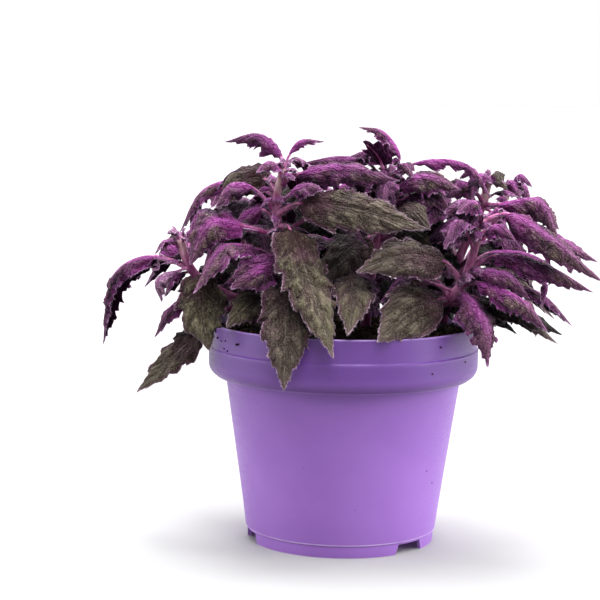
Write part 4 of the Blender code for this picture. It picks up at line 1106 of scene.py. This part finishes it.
def leaf_hairs(hairs, fine, draw):
    """Hairs on a leaf's two faces and along its margins."""
    n_cols = fine["shape"][1]
    points, normal, age = fine["points"], fine["normal"], fine["age"]
    ahead = unit(np.gradient(points, axis=0))
    area = np.linalg.norm(np.cross(np.diff(points, axis=0)[:, :-1], np.diff(points, axis=1)[:-1]), axis=-1)
    total = area.sum()
    for face, density, depth in ((1, TOP_HAIRS, fine["depth"]), (-1, UNDER_HAIRS, fine["depth_below"])):
        count = int(total * density)
        cell = draw.choice(area.size, count, p=(area / total).ravel())
        rows = cell // (n_cols - 1) + draw.random(count)
        cols = cell % (n_cols - 1) + draw.random(count)
        place, up, on, deep = (sample_grid(g, rows, cols) for g in (points, normal, ahead, depth))
        out = up * face * draw.uniform(0.5, 1.0, (count, 1)) + on * draw.uniform(0.2, 0.9, (count, 1))
        out = out + draw.normal(0, 0.25, (count, 3))
        hairs.add(place + up * face * HAIR_SUNK, out, draw.uniform(0.5, 1.1, count), HAIR_THICK, age,
                  draw.random(count), deep)
    for column, sign in ((0, -1), (n_cols - 1, 1)):
        line = points[:, column]
        steps = np.linalg.norm(np.diff(line, axis=0), axis=1)
        count = int(steps.sum() * MARGIN_HAIRS)
        cell = draw.choice(len(steps), count, p=steps / steps.sum())
        part = draw.random(count)[:, None]
        place = line[cell] * (1 - part) + line[cell + 1] * part
        away = unit(line - points[:, column - sign])[cell]
        out = away + ahead[cell, column] * 0.5 + normal[cell, column] * draw.normal(0, 0.5, (count, 1))
        out = out + draw.normal(0, 0.25, (count, 3))
        hairs.add(place, out, draw.uniform(0.5, 1.15, count), HAIR_THICK * 1.25, min(1.0, age + 0.25),
                  draw.uniform(0.4, 1.0, count), fine["depth"][cell, column])


def tube_hairs(hairs, points, radii, depth, age, draw):
    """Hairs round a stem or a stalk."""
    tangent, side, other = ring_frames(points)
    steps = np.linalg.norm(np.diff(points, axis=0), axis=1)
    area = steps * radii[:-1] * math.tau
    count = int(area.sum() * STEM_HAIRS)
    cell = draw.choice(len(steps), count, p=area / area.sum())
    part = draw.random(count)[:, None]
    angle = draw.uniform(0, math.tau, count)[:, None]
    out = np.cos(angle) * side[cell] + np.sin(angle) * other[cell]
    place = points[cell] * (1 - part) + points[cell + 1] * part + out * radii[cell][:, None]
    direction = out + tangent[cell] * draw.uniform(-0.1, 0.6, (count, 1)) + draw.normal(0, 0.2, (count, 3))
    hairs.add(place, direction, draw.uniform(0.6, 1.4, count), HAIR_THICK * 1.1, age, draw.random(count),
              depth[cell])


def make_shoot(name, leaves, cover, finishes, hair):
    """A stem with its leaves, and its hairs."""
    draw = np.random.default_rng(sum(map(ord, name)))
    shape = Shape("age", "along", "rib", "edge", "phase", "raised", "tone", "rise", "depth")
    hairs = Hairs()
    tube_hairs(hairs, *add_stem(shape, name, cover, draw), 0.5, draw)
    axils = [axil for leaf in leaves for axil in axil_leaves(leaf, draw)]
    for leaf in [*leaves, *crown_leaves(name), *axils, *small_leaves(name)]:
        fine = fine_leaf(leaf, draw)
        # A tone that differs at random from leaf to leaf, lowered by DEEP_SHADE as painted shade on leaves
        # deep among the stems
        fine["tone"] = draw.uniform(0.05, 0.85) - (DEEP_SHADE if leaf["deep"] else 0.0)
        leaf_depths(fine, cover)
        add_leaf(shape, fine)
        points, radius, depth = add_petiole(shape, fine)
        leaf_hairs(hairs, fine, draw)
        to_neck = np.linalg.norm(np.subtract(leaf["neck"], leaf["root"]))
        stalk = np.linalg.norm(points - points[0], axis=1) < 1.1 * to_neck
        tube_hairs(hairs, points[stalk], radius[stalk], depth[stalk], leaf["age"], draw)
    return shape.make(name + "_foliage", *finishes, sharp=SHOOT_CREASE), hairs.make(name + "_hairs", hair)


class Output:
    """A shader node's output, to be worked with like a number."""

    def __init__(self, graph, socket):
        self.graph, self.socket = graph, socket

    def __add__(self, other):
        return self.graph.maths("ADD", self, other)

    def __sub__(self, other):
        return self.graph.maths("SUBTRACT", self, other)

    def __rsub__(self, other):
        return self.graph.maths("SUBTRACT", other, self)

    def __mul__(self, other):
        return self.graph.maths("MULTIPLY", self, other)

    def __abs__(self):
        return self.graph.maths("ABSOLUTE", self)

    def step(self, low, high, to_low=0.0, to_high=1.0):
        """A smooth step of it between two limits."""
        return self.graph.node("MapRange", self, low, high, to_low, to_high, interpolation_type="SMOOTHSTEP")


class Graph:
    """A node tree that is being built. Its methods add nodes and return their outputs."""

    def __init__(self, tree):
        self.tree = tree

    def put(self, value, socket):
        """Gives a socket an output, a number or a colour; None leaves it be."""
        if isinstance(value, Output):
            self.tree.links.new(value.socket, socket)
        elif value is not None:
            socket.default_value = value

    def node(self, kind, *values, out=0, **settings):
        """Adds a node, with values for its inputs in order, and returns one of its outputs."""
        made = self.tree.nodes.new("ShaderNode" + kind)
        for key, value in settings.items():
            setattr(made, key, value)
        for socket, value in zip(made.inputs, values):
            self.put(value, socket)
        return Output(self, made.outputs[out])

    def maths(self, operation, *values):
        """A Math node."""
        return self.node("Math", *values, operation=operation)

    def most(self, first, second):
        """The greater of two values."""
        return self.maths("MAXIMUM", first, second)

    def attribute(self, name):
        """A value stored on the mesh's points."""
        return self.node("Attribute", out=2, attribute_name=name)

    def place(self):
        """The place on the object, in metres."""
        return self.node("TexCoord", out=3)

    def noise(self, place, scale, detail=3.0, roughness=0.55):
        """Noise at that many bumps a metre."""
        return self.node("TexNoise", place, None, scale, detail, roughness)

    def mixed(self, factor, first, second, blend="MIX"):
        """Two colours mixed."""
        first, second = (tone if isinstance(tone, Output) else (*tone, 1.0) for tone in (first, second))
        return self.node("Mix", factor, *[None] * 5, first, second, out=2, data_type="RGBA", blend_type=blend)

    def shaded(self, colour, share):
        """A colour made darker."""
        return self.mixed(1.0, colour, self.node("CombineColor", share, share, share), "MULTIPLY")

    def shading(self, deepest=DARKEST_PAINTED_SHADE):
        """The painted shade at a point's depth among the leaves: how bright a finish is painted there."""
        return self.attribute("depth").step(*DEPTHS, 1.0, deepest)


class Finish(Graph):
    """A material that is being built, with its settings on its shader's own sockets."""

    def __init__(self, name, **settings):
        self.material = bpy.data.materials.new(name)
        self.material.use_nodes = True
        super().__init__(self.material.node_tree)
        self.shader = self.tree.nodes["Principled BSDF"]
        for key, value in settings.items():
            self.shader.inputs[key.replace("_", " ")].default_value = value

    def done(self, colour, height=None, strength=1.0, distance=0.0):
        """The material, once it has its colour and any bumps."""
        self.put(colour, self.shader.inputs["Base Color"])
        if height:
            bump = self.tree.nodes.new("ShaderNodeBump")
            bump.inputs["Strength"].default_value = strength
            bump.inputs["Distance"].default_value = distance
            self.put(height, bump.inputs["Height"])
            self.tree.links.new(bump.outputs[0], self.shader.inputs["Normal"])
        return self.material


def leaf_patterns(finish):
    """What the leaf's finishes share: its points' values, its wrinkles, painted highlights and veins."""
    place = finish.place()
    names = ("age", "along", "rib", "edge", "phase", "tone", "raised")
    v = SimpleNamespace(**{name: finish.attribute(name) for name in names})
    sway = (finish.noise(place, 120.0, 2.0) - 0.5) * 2.2
    seed = v.tone * 37.0
    wrinkled = finish.node("CombineXYZ", v.phase * 1.9 + sway, v.rib * 0.50 + sway, seed)
    v.wrinkles = finish.node("TexVoronoi", wrinkled, None, 1.0, feature="DISTANCE_TO_EDGE").step(0.01, 0.22)
    streaks = finish.noise(finish.node("CombineXYZ", v.phase * 0.8, v.rib * 0.95 + sway, seed), 1.0, 2.0)
    mottle = finish.noise(place, 420.0, 3.0, 0.6)
    grain = finish.noise(place, 1300.0, 2.0, 0.75)
    v.patches = finish.noise(place, 75.0, 2.0).step(0.46, 0.64)
    # The texture: wrinkle cells lighter on top and darker in their grooves, painted shade, with streaks and
    # grain
    v.texture = v.wrinkles * 0.26 + streaks.step(0.38, 0.68) * 0.20 + grain.step(0.36, 0.66, 0.0, 0.54)
    # How raised the surface is, which the finishes turn into painted light on top and painted shade in the
    # hollows
    v.high = v.raised.step(-0.40, 0.70)
    # Painted highlights: pale specks of grain, strongest on what is raised
    v.glints = grain.step(0.54, 0.66) * (v.raised.step(0.0, 0.9) * 0.75 + 0.25)
    v.from_rib = abs(v.rib)
    to_vein = 0.5 - abs(finish.maths("FRACT", v.phase) - 0.5)
    side_vein = to_vein.step(0.008, 0.040, 0.8, 0.0) * v.edge.step(0.3, 2.0)
    veins = finish.most(v.from_rib.step(0.10, 0.45, 1.0, 0.0), side_vein)
    v.veins = veins * mottle.step(0.38, 0.60, 0.1, 1.0)
    v.margin = v.edge.step(0.10, 0.50, 1.0, 0.0) * mottle.step(0.40, 0.62, 0.15, 1.0)
    return v


def leaf_finish(name, **settings):
    """A leaf's velvet, in its LEAF_TONES.

    Painted shade darkens it in its hollows and wrinkle grooves and painted light brightens what is raised,
    over streaks and grain, and it is darker towards its base. It has another tone at its base; a violet tint
    along its rib and margin, painted sheen, and in patches of its own; painted highlights on what is raised;
    its veins and margin; and painted shade where other leaves cover it, and deep among the stems.
    """
    finish = Finish(name, **settings)
    v, tones = leaf_patterns(finish), LEAF_TONES[name]
    # Painted light and shade: lighter with the texture and where raised, and darker towards the base
    pattern_and_painted_light = v.texture * v.age.step(0.3, 0.6, 0.52, 0.45) + v.high * v.age.step(0.3, 0.6, 0.40, 0.50)
    pattern_and_painted_light = pattern_and_painted_light + v.along.step(0.05, 0.75, -0.30, 0.06)
    tone = finish.mixed(v.age.step(0.35, 0.90), tones["worn"], tones["fresh"])
    tone = finish.mixed(v.tone.step(0.0, 0.7, 0.75, 0.0), tone, tones["ruddy"])
    colour = finish.mixed(pattern_and_painted_light, tones["dark"], tone)
    # A violet tint painted as sheen along the rib and in a band along the margin, with patches of real tint
    ridge_painted_sheen = v.from_rib.step(0.7, 3.4, 1.0, 0.0) * v.age.step(0.15, 0.5) * v.along.step(0.3, 0.9, 1.0, 0.15)
    margin_band_painted_sheen = v.edge.step(0.3, 2.6, 0.95, 0.0) * v.along.step(0.3, 0.9, 1.0, 0.35)
    patches = v.patches * v.age.step(0.30, 1.0, 0.40, 0.60) * v.along.step(0.3, 0.9, 1.0, 0.25)
    layers = {
        "base": (v.along + v.from_rib * 0.015).step(0.08, 0.50, 1.0, 0.0),
        "blush_and_painted_sheen": finish.most(ridge_painted_sheen, finish.most(margin_band_painted_sheen, patches)) * v.texture.step(0.10, 0.80, 0.55, 1.0),
        "glint": v.glints,
        "vein": v.veins * v.along.step(0.05, 0.45, 0.3, 1.0),
        "margin": v.margin,
    }
    for what, where in layers.items():
        colour = finish.mixed(where * LEAF_SHARES[name][what], colour, tones[what])
    colour = finish.mixed(v.age.step(0.94, 1.0) * v.texture.step(0.2, 0.9, 0.2, 0.8), colour, DOWN_TONE)
    # The leaf's random tone, with the painted shade of deep leaves, times the painted shade where other
    # leaves cover it
    bright = v.tone.step(-1.0, 1.0, 0.10, 1.20) * finish.shading()
    height = v.wrinkles * 0.6 + v.texture - v.veins * 0.6
    return finish.done(finish.shaded(colour, bright), height, 1.0, 0.0014)


def foliage_finishes():
    """The finishes of a shoot: old leaves, young leaves, their undersides, and stems."""
    old = leaf_finish("leaf_old", Roughness=0.50, Specular_IOR_Level=0.10, Sheen_Weight=0.04,
                      Sheen_Roughness=0.25, Sheen_Tint=(0.75, 0.45, 0.75, 1.0))
    young = leaf_finish("leaf_young", Roughness=0.50, Specular_IOR_Level=0.10, Sheen_Weight=0.22,
                        Sheen_Roughness=0.22, Sheen_Tint=(0.85, 0.30, 0.90, 1.0))
    below = leaf_finish("leaf_underside", Roughness=0.60, Specular_IOR_Level=0.08, Sheen_Weight=0.20,
                        Sheen_Roughness=0.25, Sheen_Tint=(0.80, 0.18, 0.75, 1.0))
    return old, young, below, stem_finish()


def stem_finish():
    """The downy skin of stems and stalks: maroon low down, magenta higher up, pale and peachy at the tips,
    with painted shade where leaves cover them.
    """
    finish = Finish("stem_skin", Roughness=0.50, Sheen_Weight=0.6, Sheen_Roughness=0.3,
                    Sheen_Tint=(0.95, 0.45, 0.85, 1.0), Specular_IOR_Level=0.15)
    place, rise = finish.place(), finish.attribute("rise")
    streaks = finish.noise(finish.node("Mapping", place, (0, 0, 0), (0, 0, 0), (1.0, 1.0, 0.3)), 500.0, 4.0)
    streak = streaks.step(0.35, 0.65)
    low, high, peach = (finish.mixed(streak, *tones) for tones in (STEM_LOW, STEM_HIGH, STEM_PEACH))
    colour = finish.mixed(rise.step(0.30, 0.68), low, high)
    young = rise + (finish.noise(place, 60.0, 2.0) - 0.5) * 0.4
    colour = finish.mixed(young.step(0.80, 1.00, 0.0, 0.85), colour, peach)
    return finish.done(finish.shaded(colour, finish.shading(STEM_DARKEST_PAINTED_SHADE)), streaks, 0.4, 0.0005)


def hair_finish():
    """The hairs: purple at the foot, paler to the tip, with painted shade where leaves cover them."""
    finish = Finish("hairs", Roughness=0.50, Specular_IOR_Level=0.2)
    old, young = (finish.mixed(finish.attribute("tone"), *tones) for tones in (OLD_HAIR, YOUNG_HAIR))
    colour = finish.mixed(finish.attribute("age"), old, young)
    colour = finish.mixed(finish.attribute("tip") * 0.3, colour, HAIR_TIP)
    return finish.done(finish.shaded(colour, finish.shading()))


def pot_finish():
    """Satin moulded plastic: painted shade on the collar and the top of the body, pale edges partly worn and
    partly painted highlight, faint flow marks and scuffs.
    """
    finish = Finish("pot_plastic", Roughness=0.42, Specular_IOR_Level=0.5)
    place = finish.place()
    height = finish.node("SeparateXYZ", place, out=2)
    cloud = finish.noise(place, 28.0, 3.0)
    grain = finish.noise(place, 1400.0, 2.0, 0.6)
    scuffed = finish.node("Mapping", place, (0, 0, 0), (0.3, 0.7, 0.2), (1.0, 1.0, 6.0))
    scuffs = finish.noise(scuffed, 150.0, 5.0, 0.7)
    # Painted shade: the collar, and the body towards the lip, darker where the foliage and the lip would
    # shade them
    collar = height.step((LIP_Z + 1) * MM, (LIP_Z + 8) * MM, 0.6, 1.0)
    collar = collar * height.step((LIP_Z - 1) * MM, (LIP_Z + 1) * MM)
    painted_collar_shade = finish.most(height.step(0.45 * LIP_Z * MM, LIP_Z * MM, 0.0, 0.25), collar)
    colour = finish.mixed(painted_collar_shade, finish.mixed(cloud.step(0.35, 0.65), *POT_BODY), POT_PAINTED_SHADE)
    colour = finish.mixed(scuffs.step(0.62, 0.80, 0.0, 0.25), colour, POT_SCUFF)
    # Pale lines on the edges, broken up by the scuffs: partly wear, partly painted highlight
    for at, reach, share in WORN_AND_HIGHLIGHT_EDGES:
        line = abs(height - at * MM).step(0.4 * reach * MM, reach * MM, share, 0.0)
        colour = finish.mixed(line * scuffs.step(0.30, 0.60, 0.35, 1.0), colour, POT_WEAR_AND_HIGHLIGHT)
    finish.put((scuffs + grain * 0.3).step(0.35, 0.95, 0.37, 0.56), finish.shader.inputs["Roughness"])
    return finish.done(colour, grain + cloud * 3.0, 0.08, 0.0006)


def soil_finish():
    """Damp peat: near black, with browner crumbs."""
    finish = Finish("peat", Roughness=0.9, Specular_IOR_Level=0.1)
    crumbs = finish.noise(finish.place(), 900.0, 5.0, 0.7)
    browner = finish.attribute("tone").step(0.55, 1.0, 0.0, 0.85)
    colour = finish.mixed(browner, finish.mixed(crumbs.step(0.40, 0.70), *PEAT), CRUMB_TONE)
    return finish.done(colour, crumbs, 0.9, 0.0012)


def fine_pot_profile():
    """Half of the pot's section with rounded edges: inside, over the rim, down to the floor's underside."""
    def arc(r, z, radius, start, stop, steps=5):
        angles = np.radians(np.linspace(start, stop, steps))
        return [(r + radius * math.cos(a), z + radius * math.sin(a)) for a in angles]

    floor = [(0.0, FLOOR_Z + WALL), (BODY_FOOT_R - WALL - 2.0, FLOOR_Z + WALL)]
    floor += arc(BODY_FOOT_R - WALL - 1.2, FLOOR_Z + WALL + 1.2, 1.2, 270, 350)
    rim = arc(RIM_R - 0.75, RIM_TOP - 0.7, 0.7, 170, 90) + arc(RIM_R - 0.6, RIM_TOP - 0.6, 0.6, 80, 0)
    collar = [(RIM_R + 0.02, RIM_TOP - 1.2), (RIM_R + 0.28, STEP_Z + 1.2), (RIM_R + 0.32, STEP_Z + 0.55)]
    collar += arc(COLLAR_R - 0.45, STEP_Z - 0.35, 0.5, 80, 5, 4)
    collar += [(COLLAR_R + 0.02, STEP_Z - 1.6), (COLLAR_R, LIP_Z + 6.4)]
    collar += arc(COLLAR_R - 5.6, LIP_Z + 5.6, 5.6, -6, -66, 8)
    collar += [(LIP_R - 1.7, LIP_Z + 0.15), (LIP_R - 2.6, LIP_Z - 0.1), (BODY_TOP_R + 1.0, LIP_Z - 0.35)]
    body = [(BODY_TOP_R + 0.6, LIP_Z - 0.8)]
    for share in np.linspace(0, 1, 6, endpoint=False):
        radius = BODY_TOP_R + (BODY_FOOT_R - BODY_TOP_R) * share + 0.45 * (1 - share)
        body.append((radius, LIP_Z - 1.8 + (FOOT_LINE_Z + 3.3 - LIP_Z) * share))
    body += [(BODY_FOOT_R + 0.02, FOOT_LINE_Z + 0.5), (BODY_FOOT_R - 0.12, FOOT_LINE_Z)]
    foot = [(FOOT_R + 0.1, FOOT_LINE_Z - 0.45), (FOOT_R, FOOT_LINE_Z - 0.9), (FOOT_R - 0.15, 0.5)]
    foot += [(FOOT_R - 0.4, 0.0), (FOOT_R - FOOT_WIDTH, 0.0), (FOOT_R - FOOT_WIDTH, FLOOR_Z), (0.0, FLOOR_Z)]
    return floor + list(POT_INSIDE[2:]) + rim + collar + body + foot


def cutter_of(bm, place, turn, collection):
    """An object that cuts the pot, at a place and turned about its own axis."""
    mesh = bpy.data.meshes.new("cutter")
    bm.to_mesh(mesh)
    bm.free()
    made = bpy.data.objects.new("cutter", mesh)
    made.matrix_world = Matrix.Translation(place * MM) @ Matrix.Rotation(math.radians(turn), 4, "Z")
    collection.objects.link(made)


def make_pot(finish):
    """The pot, turned finely, with the notches in its foot and the drain holes in its floor."""
    profile = fine_pot_profile()
    edges = [(k, k + 1) for k in range(len(profile) - 1)]
    mesh = bpy.data.meshes.new("pot_shell")
    mesh.from_pydata([(r * MM, 0, z * MM) for r, z in profile], edges, [])
    pot = bpy.data.objects.new("pot_shell", mesh)
    bpy.context.scene.collection.objects.link(pot)
    screw = pot.modifiers.new("turn", "SCREW")
    screw.steps = screw.render_steps = POT_STEPS
    screw.use_merge_vertices = True
    screw.merge_threshold = 0.05 * MM
    cutters = bpy.data.collections.new("pot_cutters")
    bpy.context.scene.collection.children.link(cutters)
    for angle in NOTCH_HEADINGS:
        bm = bmesh.new()
        bmesh.ops.create_cube(bm, size=1.0)
        for vertex in bm.verts:
            top = vertex.co.z > 0
            vertex.co.x *= NOTCH_LENGTH * (NOTCH_SLANT if top else 1.0) * MM
            vertex.co.y *= FOOT_WIDTH * 4 * MM
            vertex.co.z = NOTCH_HEIGHT * MM if top else -MM
        cutter_of(bm, heading(angle) * (FOOT_R - FOOT_WIDTH / 2), angle, cutters)
    for angle in DRAIN_HEADINGS:
        bm = bmesh.new()
        radius = DRAIN_R * MM
        bmesh.ops.create_cone(bm, cap_ends=True, segments=24, radius1=radius, radius2=radius, depth=10 * MM)
        cutter_of(bm, heading(angle) * DRAIN_AT_R + (0, 0, FLOOR_Z), 0, cutters)
    cut = pot.modifiers.new("cut", "BOOLEAN")
    cut.operand_type = "COLLECTION"
    cut.collection = cutters
    cut.operation = "DIFFERENCE"
    done = bpy.data.meshes.new_from_object(pot.evaluated_get(bpy.context.evaluated_depsgraph_get()))
    pot.modifiers.clear()
    pot.data = done
    for other in list(cutters.objects):
        bpy.data.objects.remove(other)
    bpy.data.collections.remove(cutters)
    done.shade_smooth()
    done.set_sharp_from_angle(angle=math.radians(POT_CREASE))
    done.materials.clear()
    done.materials.append(finish)
    return pot


def radius_at(outline, z):
    """The radius at a height of an outline that rises from corner to corner."""
    radii, heights = zip(*outline)
    return float(np.interp(z, heights, radii))


def soil_height(x, y):
    """The soil's top: low rounded clods over a slight rise to the middle."""
    clods = np.sin(x * 0.21 + 1.3) * np.sin(y * 0.17 - 0.4) + 0.6 * np.sin(x * 0.47 - y * 0.39)
    return SOIL_TOP + 0.9 * clods - SOIL_FALL * (x * x + y * y) / RIM_R ** 2


def crumb_form():
    """A crumb's form, an icosahedron: its 12 corners and 20 triangles."""
    golden = (1 + math.sqrt(5)) / 2
    signs = [(s, t * golden) for s in (-1, 1) for t in (-1, 1)]
    p = [(s, t, 0) for s, t in signs] + [(0, s, t) for s, t in signs] + [(t, 0, s) for s, t in signs]
    p = np.array(p)
    faces = []
    for a in range(12):
        for b in range(a + 1, 12):
            for c in range(b + 1, 12):
                if max(np.linalg.norm(p[i] - p[j]) for i, j in ((a, b), (b, c), (a, c))) < 2.1:
                    out = np.dot(np.cross(p[b] - p[a], p[c] - p[a]), p[a] + p[b] + p[c]) > 0
                    faces.append((a, b, c) if out else (a, c, b))
    return unit(p), faces


CRUMB_CORNERS, CRUMB_FACES = crumb_form()


def add_crumb(shape, centre, size, draw):
    """A small angular crumb."""
    corners = CRUMB_CORNERS * draw.uniform(0.6, 1.15, (12, 1)) * draw.uniform(0.6, 1.2, 3) * size
    shape.add(corners + centre, tris=CRUMB_FACES, tone=draw.random())


def make_soil(finish):
    """The soil: a crumbly top over a plain body, with loose crumbs on it."""
    draw = np.random.default_rng(5)
    shape = Shape("tone")
    edge = radius_at(POT_INSIDE[1:], SOIL_TOP) - SOIL_GAP
    angles = circle(SOIL_SPOKES)
    r, a = np.meshgrid(edge * np.linspace(0.02, 1, SOIL_RINGS), angles, indexing="ij")
    x, y = r * np.cos(a), r * np.sin(a)
    top = np.stack([x, y, soil_height(x, y)], axis=-1)
    rough = 0.9 * waves(top, 4.5, draw, 8) + 0.55 * waves(top, 1.9, draw, 9) + 0.3 * waves(top, 1.1, draw, 9)
    top[..., 2] += np.clip(rough, -1.6, 1.9) * np.clip((edge - r) / 2 + 0.4, 0, 1)
    foot_z = FLOOR_Z + WALL + 0.4
    lower = [(LIP_R - WALL + 0.6 - SOIL_GAP, LIP_Z + 1.6), (BODY_TOP_R - WALL - SOIL_GAP, LIP_Z + 0.8),
             (BODY_FOOT_R - WALL - SOIL_GAP, foot_z), (1.0, foot_z)]
    body = [np.stack([radius * np.cos(angles), radius * np.sin(angles), np.full(SOIL_SPOKES, z)], axis=-1)
            for radius, z in lower]
    grid = np.concatenate([top, np.array(body)], axis=0)
    middle = np.array([[0, 0, top[0, :, 2].mean()], [0, 0, foot_z]])
    tone = np.concatenate([draw.random(len(grid) * SOIL_SPOKES) * 0.6, (0, 0)])
    shape.add(np.vstack([grid.reshape(-1, 3), middle]), tube_quads(len(grid), SOIL_SPOKES)[:, [0, 3, 2, 1]],
              tube_ends(len(grid), SOIL_SPOKES)[:, [1, 0, 2]], tone=tone)
    at = np.sqrt(draw.random(CRUMBS)) * (edge - 1.0)
    turn = draw.uniform(0, math.tau, CRUMBS)
    sizes = draw.uniform(0.35, 1.3, CRUMBS) * np.where(draw.random(CRUMBS) > 0.93, 1.6, 1.0)
    for radius, angle, size in zip(at, turn, sizes):
        x, y = radius * math.cos(angle), radius * math.sin(angle)
        z = soil_height(x, y) + size * 0.2 + draw.uniform(-0.2, 1.0)
        add_crumb(shape, (x, y, z), size, draw)
    return shape.make("soil_peat", finish, sharp=SOIL_CREASE)


def make_specks(finish):
    """The few crumbs of soil that stick to the pot."""
    draw = np.random.default_rng(9)
    shape = Shape("tone")
    outline = (*POT_OUTSIDE[9:1:-1], (RIM_R, RIM_TOP))
    for angle, z, size in SPECKS:
        add_crumb(shape, heading(angle) * (radius_at(outline, z) + size * 0.1) + (0, 0, z), size, draw)
    return shape.make("pot_specks", finish, sharp=SOIL_CREASE)


def camera():
    """The camera, at the photograph's viewing angle."""
    data = bpy.data.cameras.new("camera")
    data.sensor_width = SENSOR
    data.lens = LENS
    data.clip_start, data.clip_end = 0.05, 60.0
    made = bpy.data.objects.new("camera", data)
    right, up = Vector(CAMERA_RIGHT), Vector(CAMERA_UP)
    turn = Matrix((right, up, right.cross(up))).transposed()
    made.matrix_world = Matrix.Translation(CAMERA_PLACE) @ turn.to_4x4()
    bpy.context.scene.collection.objects.link(made)
    bpy.context.scene.camera = made


def surroundings(world):
    """White as seen in the picture and in gloss, and soft as a light, stronger from below."""
    world.use_nodes = True
    graph = Graph(world.node_tree)
    sky = graph.tree.nodes["Background"]
    sky.inputs["Color"].default_value = (1.0, 1.0, 1.0, 1.0)
    seen = graph.most(graph.node("LightPath", out=0), graph.node("LightPath", out=3))
    up = graph.node("SeparateXYZ", graph.node("TexCoord"), out=2)
    light = up.step(-0.3, 0.3, BELOW_LIGHT, SKY_LIGHT)
    graph.put(graph.node("MapRange", seen, 0.0, 1.0, light, SKY_SEEN), sky.inputs["Strength"])


def studio():
    """A plain white floor and surroundings under soft light."""
    scene = bpy.context.scene
    scene.view_settings.view_transform = "Standard"
    scene.world = bpy.data.worlds.new("studio")
    surroundings(scene.world)
    bpy.ops.mesh.primitive_circle_add(vertices=96, radius=FLOOR_R, fill_type="NGON", location=(0, 0, 0))
    floor = bpy.context.object
    floor.name = "floor"
    finish = Finish("floor", Roughness=0.9, Specular_IOR_Level=0.1)
    floor.data.materials.append(finish.done((FLOOR_TONE, FLOOR_TONE, FLOOR_TONE, 1.0)))
    floor.visible_diffuse = False
    for name, from_heading, height, strength, spread in LAMPS:
        lamp = bpy.data.lights.new(name, "SUN")
        lamp.energy = strength
        lamp.angle = math.radians(spread)
        made = bpy.data.objects.new(name, lamp)
        level = math.cos(math.radians(height))
        towards = Vector(heading(from_heading) * level + (0, 0, math.sin(math.radians(height))))
        made.rotation_mode = "QUATERNION"
        made.rotation_quaternion = towards.to_track_quat("Z", "Y")
        scene.collection.objects.link(made)


def main():
    """Makes every piece with its finishes, attaches each to what it rides on, and hides the frame's node it
    stands for.
    """
    camera()
    studio()
    finishes, hair = foliage_finishes(), hair_finish()
    leaves = clear_leaves()
    cover = bvh(joined([plain_leaf(leaf) for leaf in leaves] + [turned_mesh(POT_INSIDE + POT_OUTSIDE)]))
    for name in STEMS:
        mine = [leaf for leaf in leaves if leaf["stem"] == name]
        shoot, down = make_shoot(name, mine, cover, finishes, hair)
        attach(shoot, "root")
        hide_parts(name)
        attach(down, "root")
    pot = make_pot(pot_finish())
    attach(pot, "root")
    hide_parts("pot")
    peat = soil_finish()
    soil = make_soil(peat)
    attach(soil, "root")
    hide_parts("soil")
    specks = make_specks(peat)
    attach(specks, "root")


main()
